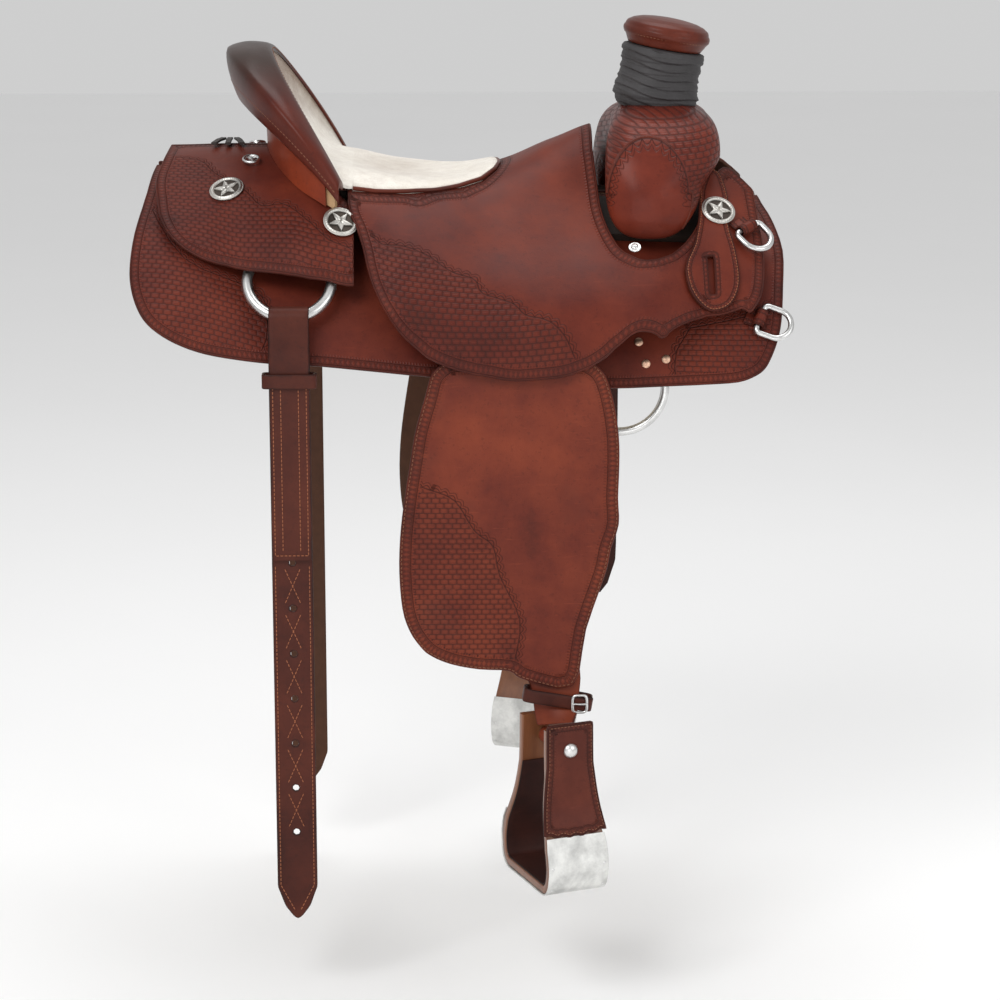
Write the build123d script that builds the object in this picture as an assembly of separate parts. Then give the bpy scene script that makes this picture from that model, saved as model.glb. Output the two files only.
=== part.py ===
from build123d import *
import math
import os

# ---------------------------------------------------------------------------
# Western roping saddle, millimetres.
# +X toward the horn, +Y the horse's left (near side), +Z up.
# Origin: ridge centre of the seating surface on the horse's back.
# ---------------------------------------------------------------------------

# driving dimensions
BARREL_R = 260.0          # radius of the side-to-side curve of the skirts
FLEECE_T = 13.6           # fleece lining
SKIRT_T = 5.0             # skirt leather
JOCKEY_T = 4.5            # jockey leather
BAR_T = 9.5               # tree bar
CANTLE_HALF_W = 150.0     # half width of the cantle at its corners
CANTLE_TOP_Z = 210.0      # top of the cantle rim
CANTLE_CORNER_Z = 60.0
HORN_CAP_D = 92.0         # horn cap diameter
HORN_WRAP_D = 90.0        # rubber wrap diameter
HORN_TILT = 10.0          # degrees, forward lean of the horn
RING_SECTION = 11.5       # rear rigging ring wire thickness
REAR_RING_R = 43.0        # to the wire centre
FRONT_RING_R = 47.0
FRONT_RING_SECTION = 9.0
BILLET_W = 42.0
BILLET_Y = 247.0
FENDER_Y = 222.0          # inner face of the fender
FENDER_T = 4.5
STIRRUP_YAW = 21.0        # degrees the stirrup is turned out
STIRRUP_Y = 238.0
STIRRUP_X = 93.0
STIRRUP_BOLT_Z = -490.0
STIRRUP_HALF_TOP = 36.0
STIRRUP_HALF_BOT = 62.0
TREAD_Z = -640.0
HINGE_X = 84.0            # stirrup leather pivot on the tree bar
HINGE_Z = 8.0
RING_X = -178.0
CONCHO_D = 36.0

os.makedirs("parts", exist_ok=True)


def write(name, shape):
    if isinstance(shape, (list, tuple)):
        shape = Compound(children=[s for s in shape])
    shape.label = name
    export_step(shape, "parts/" + name + ".step")


def smooth(t):
    t = max(0.0, min(1.0, t))
    return t * t * (3 - 2 * t)


def ridge(x):
    return 38.0 + 30.0 * smooth((-x - 150.0) / 180.0) - 2.0 * max(0.0, min(1.0, x / 300.0))


def spread(x):
    return math.radians(5.0 + 11.0 * smooth((x + 300.0) / 600.0))


def on_back(x, s, off):
    """Point on the right-hand (+) half of the back surface: s along the curve, off above it."""
    a = spread(x)
    th = a + s / BARREL_R
    r = BARREL_R + off
    return (x, -BARREL_R * math.sin(a) + r * math.sin(th), ridge(x) - BARREL_R * math.cos(a) + r * math.cos(th))


def y_of(x, z, off):
    """Distance out from the centre plane of a layer at height z."""
    a = spread(x)
    zc = ridge(x) - BARREL_R * math.cos(a)
    r = BARREL_R + off
    c = max(-1.0, min(1.0, (z - zc) / r))
    return -BARREL_R * math.sin(a) + r * math.sqrt(1 - c * c)


def strip_section(x, s0, s1, lo, hi, side, n=9):
    """Closed cross-section of a layer between two offsets, in the plane X = x."""
    ss = [s0 + (s1 - s0) * i / (n - 1) for i in range(n)]
    a = [on_back(x, s, lo(x, s)) for s in ss]
    b = [on_back(x, s, hi(x, s)) for s in ss]
    a = [Vector(p[0], side * p[1], p[2]) for p in a]
    b = [Vector(p[0], side * p[1], p[2]) for p in b]
    e = [Spline(*a), Line(a[-1], b[-1]), Spline(*reversed(b)), Line(b[0], a[0])]
    return Face(Wire(e))


def layer(xs, s0, s1, lo, hi, side):
    f0 = (lambda x: s0) if not callable(s0) else s0
    f1 = (lambda x: s1) if not callable(s1) else s1
    return Solid(loft([strip_section(x, f0(x), f1(x), lo, hi, side) for x in xs]).wrapped)


def outline_prism(pts, side, y0=-5.0, y1=330.0, closed_spline=False):
    """Side-view outline (x, z) pulled across from y0 to y1 on one side."""
    v = [Vector(x, side * y0, z) for x, z in pts]
    f = Face(Wire(Polyline(*v, close=True).edges()))
    return Solid(extrude(f, amount=abs(y1 - y0), dir=(0, side, 0)).wrapped)


def one_solid(shape):
    s = sorted(shape.solids(), key=lambda k: k.volume)
    return s[-1]


def const(v):
    return lambda x, s: v


def dense(pts, n=4):
    """Catmull-Rom smoothing of an open point list."""
    out = []
    m = len(pts)
    for i in range(m - 1):
        p0 = pts[max(i - 1, 0)]
        p1 = pts[i]
        p2 = pts[i + 1]
        p3 = pts[min(i + 2, m - 1)]
        for k in range(n):
            t = k / n
            out.append(tuple(
                0.5 * ((2 * p1[j]) + (-p0[j] + p2[j]) * t + (2 * p0[j] - 5 * p1[j] + 4 * p2[j] - p3[j]) * t * t
                       + (-p0[j] + 3 * p1[j] - 3 * p2[j] + p3[j]) * t ** 3) for j in range(len(p1))))
    out.append(tuple(pts[-1]))
    return out


SIDES = (("right", -1), ("left", 1))
STATIONS = [-350, -310, -265, -222, -180, -140, -75, 0, 80, 160, 240, 300, 345]

# ---------------------------------------------------------------------------
# skirts and fleece
# ---------------------------------------------------------------------------
SKIRT_EDGE = dense([(-322, 104), (-329, 66), (-338, 32), (-341, 3), (-339, -17), (-332, -36), (-322, -50),
                    (-306, -62), (-286, -72), (-262, -80), (-232, -86), (-197, -91), (-147, -95), (-86, -102),
                    (-35, -108), (40, -115), (100, -120), (152, -124), (213, -123), (250, -122), (284, -120),
                    (302, -114), (312, -107), (319, -96), (326, -80), (331, -61), (335, -28), (338, 4),
                    (331, 30), (323, 44), (318, 56)], 3)
SKIRT_OUTLINE = SKIRT_EDGE + [(318, 150), (-322, 160)]


def shrink(pts, cx, cz, dx, dz):
    return [(x - dx * (1 if x > cx else -1) * min(1.0, abs(x - cx) / 60.0), z + dz if z < cz else z) for x, z in pts]


skirts = {}
for name, sd in SIDES:
    skirt = layer(STATIONS, lambda x: 9.0, lambda x: 300.0, const(FLEECE_T + 0.4), const(FLEECE_T + 0.4 + SKIRT_T), sd)
    skirt = one_solid(skirt & outline_prism(SKIRT_OUTLINE, sd))
    skirts[name] = skirt
    write("skirt_" + name, skirt)

    fl = layer(STATIONS, lambda x: 12.0, lambda x: 296.0, const(0.0), const(FLEECE_T), sd)
    fl_edge = [(x * 0.985, z + 3.0) if z < 0 else (x * 0.985, z) for x, z in SKIRT_EDGE]
    fl = fl & outline_prism(fl_edge + [(312, 150), (-317, 160)], sd)
    # relief for the rigging ring that hangs behind the skirt
    fl = fl - Pos(163, sd * 190, -112) * Box(126, 90, 142)
    write("fleece_" + name, one_solid(fl))

# ---------------------------------------------------------------------------
# tree bars
# ---------------------------------------------------------------------------
BAR_LO = FLEECE_T + 0.4 + SKIRT_T + 0.3
for name, sd in SIDES:
    bar = layer(STATIONS, lambda x: 34.0, lambda x: 94.0, const(BAR_LO), const(BAR_LO + BAR_T), sd)
    out = [(-238, 100), (-240, 40), (-215, 8), (-150, -8), (0, -12), (150, -12), (235, -6), (268, 10), (275, 60), (262, 90), (0, 90)]
    bar = bar & outline_prism(dense(out, 3), sd)
    write("tree_bar_" + name, one_solid(bar))

# ---------------------------------------------------------------------------
# seat leather with its front jockeys: cross-section stations (|y|, z) of the top face
# ---------------------------------------------------------------------------
SEAT = {
    -118: [(0, 81), (45, 83), (90, 85), (132, 68), (166, 38), (196, 4), (214, -30), (224, -64), (228, -100)],
    -60: [(0, 70), (45, 72), (88, 74), (126, 60), (166, 33), (205, -2), (228, -36), (236, -72), (238, -122)],
    -20: [(0, 69), (45, 71), (85, 70), (122, 54), (163, 25), (202, -8), (227, -40), (237, -74), (240, -125)],
    40: [(0, 84), (40, 82), (75, 72), (112, 47), (154, 16), (196, -14), (224, -44), (237, -76), (240, -125)],
    100: [(0, 110), (30, 106), (60, 89), (97, 56), (142, 20), (187, -12), (219, -42), (234, -74), (238, -122)],
    150: [(0, 128), (25, 122), (52, 102), (87, 64), (130, 28), (176, -6), (210, -38), (230, -70), (235, -116)],
    200: [(0, 128), (25, 122), (50, 102), (84, 70), (124, 36), (164, 4), (197, -26), (217, -56), (226, -96)],
    260: [(0, 112), (25, 106), (48, 90), (75, 66), (104, 40), (136, 10), (164, -22), (184, -54), (194, -90)],
    325: [(0, 88), (25, 82), (48, 68), (68, 52), (90, 32), (119, 8), (149, -21), (174, -51), (194, -86)],
}


def resample(pts, n):
    d = dense(pts, 8)
    acc = [0.0]
    for i in range(1, len(d)):
        acc.append(acc[-1] + math.dist(d[i], d[i - 1]))
    out = []
    for k in range(n):
        t = acc[-1] * k / (n - 1)
        i = 0
        while i < len(acc) - 2 and acc[i + 1] < t:
            i += 1
        f = 0 if acc[i + 1] == acc[i] else (t - acc[i]) / (acc[i + 1] - acc[i])
        out.append(tuple(d[i][j] + (d[i + 1][j] - d[i][j]) * f for j in range(2)))
    return out


def inward(pts, t):
    """Offset a (|y|, z) profile toward the horse by t."""
    out = []
    m = len(pts)
    for i, (y, z) in enumerate(pts):
        a = pts[max(i - 1, 0)]
        b = pts[min(i + 1, m - 1)]
        if i == 0:
            out.append((y, z - t))
            continue
        dy, dz = b[0] - a[0], b[1] - a[1]
        l = math.hypot(dy, dz)
        out.append((y + dz / l * t, z - dy / l * t))
    return out


def monotone(xs, ys, x):
    """Shape-preserving cubic through (xs, ys)."""
    n = len(xs)
    h = [xs[i + 1] - xs[i] for i in range(n - 1)]
    d = [(ys[i + 1] - ys[i]) / h[i] for i in range(n - 1)]
    m = [d[0]] + [0.0] * (n - 2) + [d[-1]]
    for i in range(1, n - 1):
        if d[i - 1] * d[i] > 0:
            w1, w2 = 2 * h[i] + h[i - 1], h[i] + 2 * h[i - 1]
            m[i] = (w1 + w2) / (w1 / d[i - 1] + w2 / d[i])
    i = 0
    while i < n - 2 and x > xs[i + 1]:
        i += 1
    t = (x - xs[i]) / h[i]
    return ((1 + 2 * t) * (1 - t) ** 2 * ys[i] + t * (1 - t) ** 2 * h[i] * m[i]
            + t * t * (3 - 2 * t) * ys[i + 1] + t * t * (t - 1) * h[i] * m[i + 1])


def profile_at(table, x, n=17):
    """The (|y|, z) profile of a station table at any x."""
    ks = sorted(table)
    rs = [resample(table[k], n) for k in ks]
    return [(monotone(ks, [r[i][0] for r in rs], x), monotone(ks, [r[i][1] for r in rs], x)) for i in range(n)]


def stations(table, step=24.0):
    ks = sorted(table)
    m = max(2, int(round((ks[-1] - ks[0]) / step)))
    return [ks[0] + (ks[-1] - ks[0]) * i / m for i in range(m + 1)]


def top_at(table, x, y):
    """Height of the profile at |y|."""
    q = profile_at(table, x, 33)
    for a, b in zip(q, q[1:]):
        if a[0] <= y <= b[0]:
            return a[1] + (b[1] - a[1]) * (y - a[0]) / max(1e-9, b[0] - a[0])
    return q[-1][1]


def plane_on(table, x, y, side, lift=0.0):
    """Plane tangent to the surface at (x, |y|), its normal pointing outward."""
    z = top_at(table, x, y)
    zx = (top_at(table, x + 5, y) - top_at(table, x - 5, y)) / 10.0
    zy = (top_at(table, x, y + 4) - top_at(table, x, y - 4)) / 8.0
    n = Vector(-zx, -zy * side, 1.0).normalized()
    xd = Vector(1.0, 0.0, zx).normalized()
    return Plane(origin=Vector(x, side * y, z) + n * lift, x_dir=xd, z_dir=n)


def full_section(x, prof, t0, t1):
    """Full-width closed section between offsets t0 and t1 below the profile."""
    hi = inward(prof, t0) if t0 else prof
    lo = inward(prof, t1)
    a = [Vector(x, -y, z) for y, z in reversed(hi)] + [Vector(x, y, z) for y, z in hi[1:]]
    b = [Vector(x, -y, z) for y, z in reversed(lo)] + [Vector(x, y, z) for y, z in lo[1:]]
    e = [Spline(*a), Line(a[-1], b[-1]), Spline(*reversed(b)), Line(b[0], a[0])]
    return Face(Wire(e))


def seat_shell(t0, t1, table=None, xs=None):
    table = table or SEAT
    return Solid(loft([full_section(x, profile_at(table, x), t0, t1) for x in (xs or stations(table))]).wrapped)


SEAT_LOW = dense([(-112, 95), (-106, 50), (-103, 21), (-99, 4), (-93, -15), (-80, -40), (-60, -66), (-25, -92),
                  (26, -106), (66, -109), (107, -104), (138, -91), (160, -72), (176, -62), (192, -63),
                  (204, -69), (217, -61), (243, -54), (269, -51), (288, -46), (296, -50), (302, -46),
                  (312, -28), (316, 8), (313, 39), (310, 62)], 3)
SEAT_CUT = dense([(300, 72), (284, 84), (271, 80), (258, 56), (245, 31), (224, 12), (201, 5), (181, 6),
                  (162, 16), (148, 42), (143, 75), (140, 105)], 3)
SEAT_OUTLINE = SEAT_LOW + SEAT_CUT + [(140, 150), (-112, 150)]
seat = seat_shell(0.0, JOCKEY_T)
seat_cutters = [outline_prism(SEAT_OUTLINE, sd, y0=0.0) for _, sd in SIDES]
right_half = one_solid(seat & seat_cutters[0])
left_half = one_solid(seat & seat_cutters[1])
seat_leather = one_solid(right_half + left_half)
write("seat_leather", seat_leather)

# suede seat inlay: lies on the seat leather in front and rises to the cantle at the rear
INLAY = {
    -193: ([(0, 170), (30, 172), (58, 180)], 7.0),
    -178: ([(0, 137), (50, 141), (82, 149), (98, 160)], 7.0),
    -160: ([(0, 109), (50, 112), (92, 121), (121, 133)], 7.0),
    -138: ([(0, 94), (50, 96), (98, 100), (132, 104)], 6.0),
    -113: ([(0, 88), (45, 89.5), (92, 91), (126, 80)], 4.5),
}


def dish_section(x):
    p = profile_at({k: v[0] for k, v in INLAY.items()}, x, 9)
    t = monotone(sorted(INLAY), [INLAY[k][1] for k in sorted(INLAY)], x)
    lo = [(y, z - t) for y, z in p]
    a = [Vector(x, -y, z) for y, z in reversed(p)] + [Vector(x, y, z) for y, z in p[1:]]
    b = [Vector(x, -y, z) for y, z in reversed(lo)] + [Vector(x, y, z) for y, z in lo[1:]]
    return Face(Wire([Spline(*a), Line(a[-1], b[-1]), Spline(*reversed(b)), Line(b[0], a[0])]))


rear_dish = Solid(loft([dish_section(x) for x in stations(INLAY, 12.0)]).wrapped)
pad = seat_shell(-4.8, -0.4)
PAD_PLAN = dense([(-113.0, 124), (-90, 121), (-60, 112), (-30, 100), (0, 84), (22, 66), (36, 42), (42, 0)], 3)
plan = [Vector(x, y, 0) for x, y in PAD_PLAN] + [Vector(x, -y, 0) for x, y in reversed(PAD_PLAN[:-1])]
pad_prism = extrude(Face(Wire(Polyline(*plan, close=True).edges())), amount=200, dir=(0, 0, 1))
pad = one_solid(pad & pad_prism)
inlay = one_solid(rear_dish + pad)
write("seat_inlay", one_solid(inlay - seat_leather))

# ground seat: stiff plate under the seat leather, standing on the bars
ground = seat_shell(5.1, 8.4)
g_plan = [Vector(-50, 78, 0), Vector(-20, 76, 0), Vector(40, 68, 0), Vector(100, 52, 0), Vector(100, -52, 0),
          Vector(40, -68, 0), Vector(-20, -76, 0), Vector(-50, -78, 0)]
ground = ground & extrude(Face(Wire(Polyline(*g_plan, close=True).edges())), amount=200, dir=(0, 0, 1))
write("ground_seat", one_solid(ground - seat_leather))

# top face of the rear jockeys: stations of (|y|, z)
REAR = {
    -325: [(3, 105), (46, 98), (90, 80), (120, 62), (150, 41), (168, 26), (180, 10)],
    -270: [(3, 105), (50, 98), (90, 80), (121, 60), (146, 41), (168, 20), (184, 1)],
    -225: [(3, 105), (50, 99), (95, 82), (128, 64), (156, 43), (181, 17), (201, -15)],
    -178: [(3, 106), (55, 100), (100, 84), (130, 67), (157, 46), (181, 20), (203, -18)],
    -150: [(3, 106), (55, 99), (100, 84), (134, 66), (162, 43), (187, 15), (207, -28)],
    -112: [(3, 98), (55, 92), (100, 80), (130, 62), (160, 35), (188, 4), (208, -36)],
}

# ---------------------------------------------------------------------------
# cantle: radial sections about a vertical axis
# ---------------------------------------------------------------------------
AX = -95.0


def rim(phi):
    c, s = math.cos(phi), math.sin(phi)
    return (-207.0 + 92.0 * (1 - c), CANTLE_HALF_W * s,
            CANTLE_CORNER_Z + (CANTLE_TOP_Z - CANTLE_CORNER_Z) * max(c, 0.0) ** 0.85)


def radial_face(phi, poly):
    x, y, z = rim(phi)
    dx, dy = x - AX, y
    r = math.hypot(dx, dy)
    ux, uy = dx / r, dy / r
    pts = [Vector(AX + ux * (r + u), uy * (r + u), v) for u, v in poly]
    return Face(Wire(Polyline(*pts, close=True).edges()))


def radial_loft(section, a=84.0, n=13):
    fs = []
    for i in range(n):
        phi = math.radians(-a + 2 * a * i / (n - 1))
        fs.append(radial_face(phi, section(phi)))
    return Solid(loft(fs).wrapped)


def floor_z(phi):
    """Height at which the cantle meets the rear jockeys."""
    x, y, z = rim(phi)
    return top_at(REAR, min(-112.0, x - 4.0), max(3.1, abs(y))) + 1.5


def wood_section(phi):
    c = max(math.cos(phi), 0.0)
    z = rim(phi)[2]
    f = floor_z(phi)
    top = z - 7
    bot = min(f, top - 8)
    return [(-5, top), (4, top), (2 - 8 * c, bot), (-8 - 6 * c, bot)]


def back_section(phi):
    c = max(math.cos(phi), 0.0)
    z = rim(phi)[2]
    f = floor_z(phi)
    top = z - 7 - 12 * c
    bot = min(f, top - 5)
    return [(4.4, top), (8.4, top), (6.4 - 8 * c, bot), (2.4 - 8 * c, bot)]


def roll_section(phi):
    c = max(math.cos(phi), 0.0)
    z = rim(phi)[2]
    w = 12 + 28 * c        # how far the roll stands out behind
    d = 10 + 36 * c        # how far its lower edge hangs
    t = 4.5
    return [(-8, z - 6), (-6, z - 1), (-1, z + 2), (w * 0.45, z + 3), (w * 0.85, z), (w, z - 5),
            (w - 2, z - 5 - d * 0.45), (max(13.0, w * 0.72), z - 6 - d), (max(13.0, w * 0.72) - t, z - 6 - d + 2),
            (max(9.0, w - 7), z - 8 - d * 0.4), (max(8.0, w * 0.7), z - 4), (6, z - 4.0), (-2, z - 6.3)]


cantle_wood = radial_loft(wood_section, 80.0)
cantle_wood = cantle_wood - rear_dish - Pos(0, 0, -1.0) * rear_dish
CORNER_X, CORNER_Y = -126.0, 157.0
for _, sd in SIDES:
    cantle_wood = cantle_wood - plane_on(REAR, CORNER_X, CORNER_Y, sd) * Cylinder(CONCHO_D / 2 + 0.8, 40)
cantle_wood = one_solid(cantle_wood)
write("tree_cantle", cantle_wood)
back = radial_loft(back_section, 82.0)
for _, sd in SIDES:
    back = back - plane_on(REAR, CORNER_X, CORNER_Y, sd) * Cylinder(CONCHO_D / 2 + 0.8, 40)
roll = radial_loft(roll_section, 84.0)
back = one_solid(back - roll)
write("cantle_back", back)
roll = one_solid(roll - cantle_wood - rear_dish)
write("cantle_roll", roll)

# ---------------------------------------------------------------------------
# rear jockeys
# ---------------------------------------------------------------------------


RJ_XS = sorted(REAR)


def rear_section(x, t0, t1, side):
    p = profile_at(REAR, x, 12)
    hi = inward(p, t0) if t0 else list(p)
    lo = inward(p, t1)
    a = [Vector(x, side * y, z) for y, z in hi]
    b = [Vector(x, side * y, z) for y, z in lo]
    return Face(Wire([Spline(*a), Line(a[-1], b[-1]), Spline(*reversed(b)), Line(b[0], a[0])]))


RING_TILT = 49.0           # plane of the ring, degrees from horizontal
RING_TOP_Z = 18.7
RING_TOP_Y = 158.0


def ring_plane(side):
    """Local frame of the rear ring: origin at its top wire centre, local -Y runs down the slope."""
    t = math.radians(RING_TILT)
    ytop = RING_TOP_Y
    return Plane(origin=(RING_X, side * ytop, RING_TOP_Z), x_dir=(side * -1.0, 0, 0),
                 z_dir=(0, side * math.sin(t), math.cos(t)))


def ring_up(side):
    return 1.0 if ring_plane(side).y_dir.Z > 0 else -1.0


RJ_EDGE = dense([(-306, 125), (-312, 100), (-319, 80), (-316, 62), (-311, 45), (-298, 28), (-277, 14), (-253, 5),
                 (-215, -1), (-176, -6), (-137, -12), (-114, -16), (-113.5, 0), (-113.5, 24), (-113.5, 44)], 3)
CANTLE_FOOT = dense([(-113.5, 58), (-125, 66), (-140, 76), (-160, 92), (-190, 108), (-228, 125)], 3)
for name, sd in SIDES:
    rj = Solid(loft([rear_section(x, 0.0, JOCKEY_T, sd) for x in stations(REAR, 20.0)]).wrapped)
    rj = rj & outline_prism(RJ_EDGE + CANTLE_FOOT, sd)
    for shift in ((0, 0, 0), (0, 0, -0.6), (-0.6, 0, 0), (0.6, 0, 0), (0, 0.6, 0), (0, -0.6, 0)):
        rj = rj - Pos(*shift) * cantle_wood
    rj = rj - Pos(0, 0, -0.4) * back
    # the leather is formed over the rigging ring, clear of it over its whole lift
    for lift in (0, 2, 4, 6, 8):
        rj = rj - ring_plane(sd) * Rot(ring_up(sd) * -lift, 0, 0) * Pos(0, -ring_up(sd) * REAR_RING_R, 0) * Torus(REAR_RING_R, RING_SECTION / 2 + 0.8)
    write("rear_jockey_" + name, one_solid(rj))

# ---------------------------------------------------------------------------
# fork (swell) and gullet
# ---------------------------------------------------------------------------
# stations: |y| -> (x centre, half width in x, z bottom, z top)
FORK = [(0, 207, 46, 92, 152), (40, 207, 50, 84, 149), (75, 205, 53, 60, 141), (103, 200, 50, 28, 126),
        (122, 195, 41, 18, 106), (134, 192, 26, 28, 84)]


def fork_section(y, xc, hx, z0, z1, sh, sy):
    hx -= sh
    z0 += sh
    z1 -= sh
    zc, hz = (z0 + z1) / 2, (z1 - z0) / 2
    pts = []
    for i in range(16):
        a = 2 * math.pi * i / 16
        c, s = math.cos(a), math.sin(a)
        e = 0.72
        pts.append(Vector(xc + hx * math.copysign(abs(c) ** e, c), sy * y, zc + hz * math.copysign(abs(s) ** e, s)))
    return Face(Wire(Spline(*pts, periodic=True)))


def fork_body(sh):
    st = []
    for y, xc, hx, z0, z1 in reversed(FORK):
        yy = y - (sh if y > 100 else 0)
        st.append(fork_section(yy, xc, hx, z0, z1, sh, -1))
    for y, xc, hx, z0, z1 in FORK[1:]:
        yy = y - (sh if y > 100 else 0)
        st.append(fork_section(yy, xc, hx, z0, z1, sh, 1))
    return Solid(loft(st).wrapped)


fork_out = fork_body(0.0)
fork_in = fork_body(4.5)
horn_hole = Pos(208, 0, 146) * Rot(0, HORN_TILT, 0) * (Pos(0, 0, -24.3) * Cylinder(22.3, 80, align=(Align.CENTER, Align.CENTER, Align.MIN)))
fork_cover = one_solid(fork_out - fork_in - horn_hole)
fork_wood = one_solid(one_solid(fork_body(6.0) - horn_hole) - fork_cover)
write("fork_cover", fork_cover)
write("tree_fork", fork_wood)

# ---------------------------------------------------------------------------
# horn: steel core, rubber wrap, leather cap
# ---------------------------------------------------------------------------
HL = Pos(208, 0, 146) * Rot(0, HORN_TILT, 0)
core = HL * (Pos(0, 0, -24) * Cylinder(22, 98, align=(Align.CENTER, Align.CENTER, Align.MIN))
             + Pos(0, 0, 74) * Cylinder(38, 6, align=(Align.CENTER, Align.CENTER, Align.MIN)))
write("horn_core", one_solid(core))
wrap_pts = [(22.3, 9), (40, 9), (45.5, 12), (44, 22), (42.5, 34), (43, 48), (45, 58), (44, 61), (22.3, 61)]
wrap = revolve(Plane.XZ * Face(Wire(Polyline(*[Vector(a, b) for a, b in wrap_pts], close=True).edges())), Axis.Z, 360)
write("horn_wrap", one_solid(HL * wrap))
cap_pts = [(22.3, 61.5), (40, 61.5), (43, 68), (46, 74), (46, 79), (42, 85), (30, 90), (14, 92.5), (0, 93), (0, 80.3),
           (38.3, 80.3), (38.3, 73.7), (22.3, 73.7)]
cap = revolve(Plane.XZ * Face(Wire(Polyline(*[Vector(a, b) for a, b in cap_pts], close=True).edges())), Axis.Z, 360)
write("horn_cap", one_solid(HL * cap))


# ---------------------------------------------------------------------------
# fittings that lie on a sloping surface
# ---------------------------------------------------------------------------
def frame_at(x, y, z, side, tilt):
    """Plane with its normal pointing out and up; tilt is the normal's angle above the horizontal."""
    t = math.radians(tilt)
    return Plane(origin=(x, side * y, z), x_dir=(1, 0, 0), z_dir=(0, side * math.cos(t), math.sin(t)))


def disc(x, y, z, side, tilt, r, h0, h1):
    p = frame_at(x, y, z, side, tilt)
    return p * (Pos(0, 0, h0) * Cylinder(r, h1 - h0, align=(Align.CENTER, Align.CENTER, Align.MIN)))


def disc_on(table, x, y, side, r, h0, h1):
    return plane_on(table, x, y, side) * (Pos(0, 0, h0) * Cylinder(r, h1 - h0, align=(Align.CENTER, Align.CENTER, Align.MIN)))


KEEPER_SHELL = seat_shell(-4.8, -0.3)
conchos = []
screws = []
rivets = []
KEEPER = dense([(261, 84), (250, 62), (247, 37), (240, 14), (228, -8), (235, -34), (254, -49), (276, -43), (286, -24),
                (284, 4), (278, 30), (280, 55), (274, 76)], 3)
TILT_K = 44.0
for name, sd in SIDES:
    # pear-shaped latigo keeper on the front jockey
    shell = KEEPER_SHELL
    keeper = shell & outline_prism(KEEPER, sd, y0=20)
    slot = outline_prism([(253, 1), (260, 1), (260, -33), (253, -33)], sd, y0=20)
    keeper = one_solid(keeper - slot - fork_body(-0.5))
    write("latigo_keeper_" + name, keeper)
    # conchos: rear jockey, cantle corner, keeper
    conchos.append(disc_on(REAR, -244, 112, sd, CONCHO_D / 2, 1.3, 4.7))
    conchos.append(disc_on(REAR, CORNER_X, CORNER_Y, sd, CONCHO_D / 2, 2.8, 6.2))
    conchos.append(disc_on(SEAT, 268, 100, sd, CONCHO_D / 2, 6.0, 9.4))
    # washered screw under the swell
    screws.append(disc_on(SEAT, 178, 152, sd, 6.5, 0.5, 3.3))
    # rivets of the rigging on the skirt
    for (x, z) in ((181, -80), (209, -97), (188, -101)):
        y = y_of(x, z, FLEECE_T + 0.4 + SKIRT_T)
        a = math.degrees(math.asin((z - (ridge(x) - BARREL_R * math.cos(spread(x)))) / (BARREL_R + 19)))
        rivets.append(disc(x, y, z, sd, a, 4.6, 0.4, 2.4))
write("conchos", conchos)
write("jockey_screws", screws)
write("skirt_rivets", rivets)


def torus_xz(x, y, z, R, r, side):
    return Pos(x, side * y, z) * Rot(90, 0, 0) * Torus(R, r)


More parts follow.
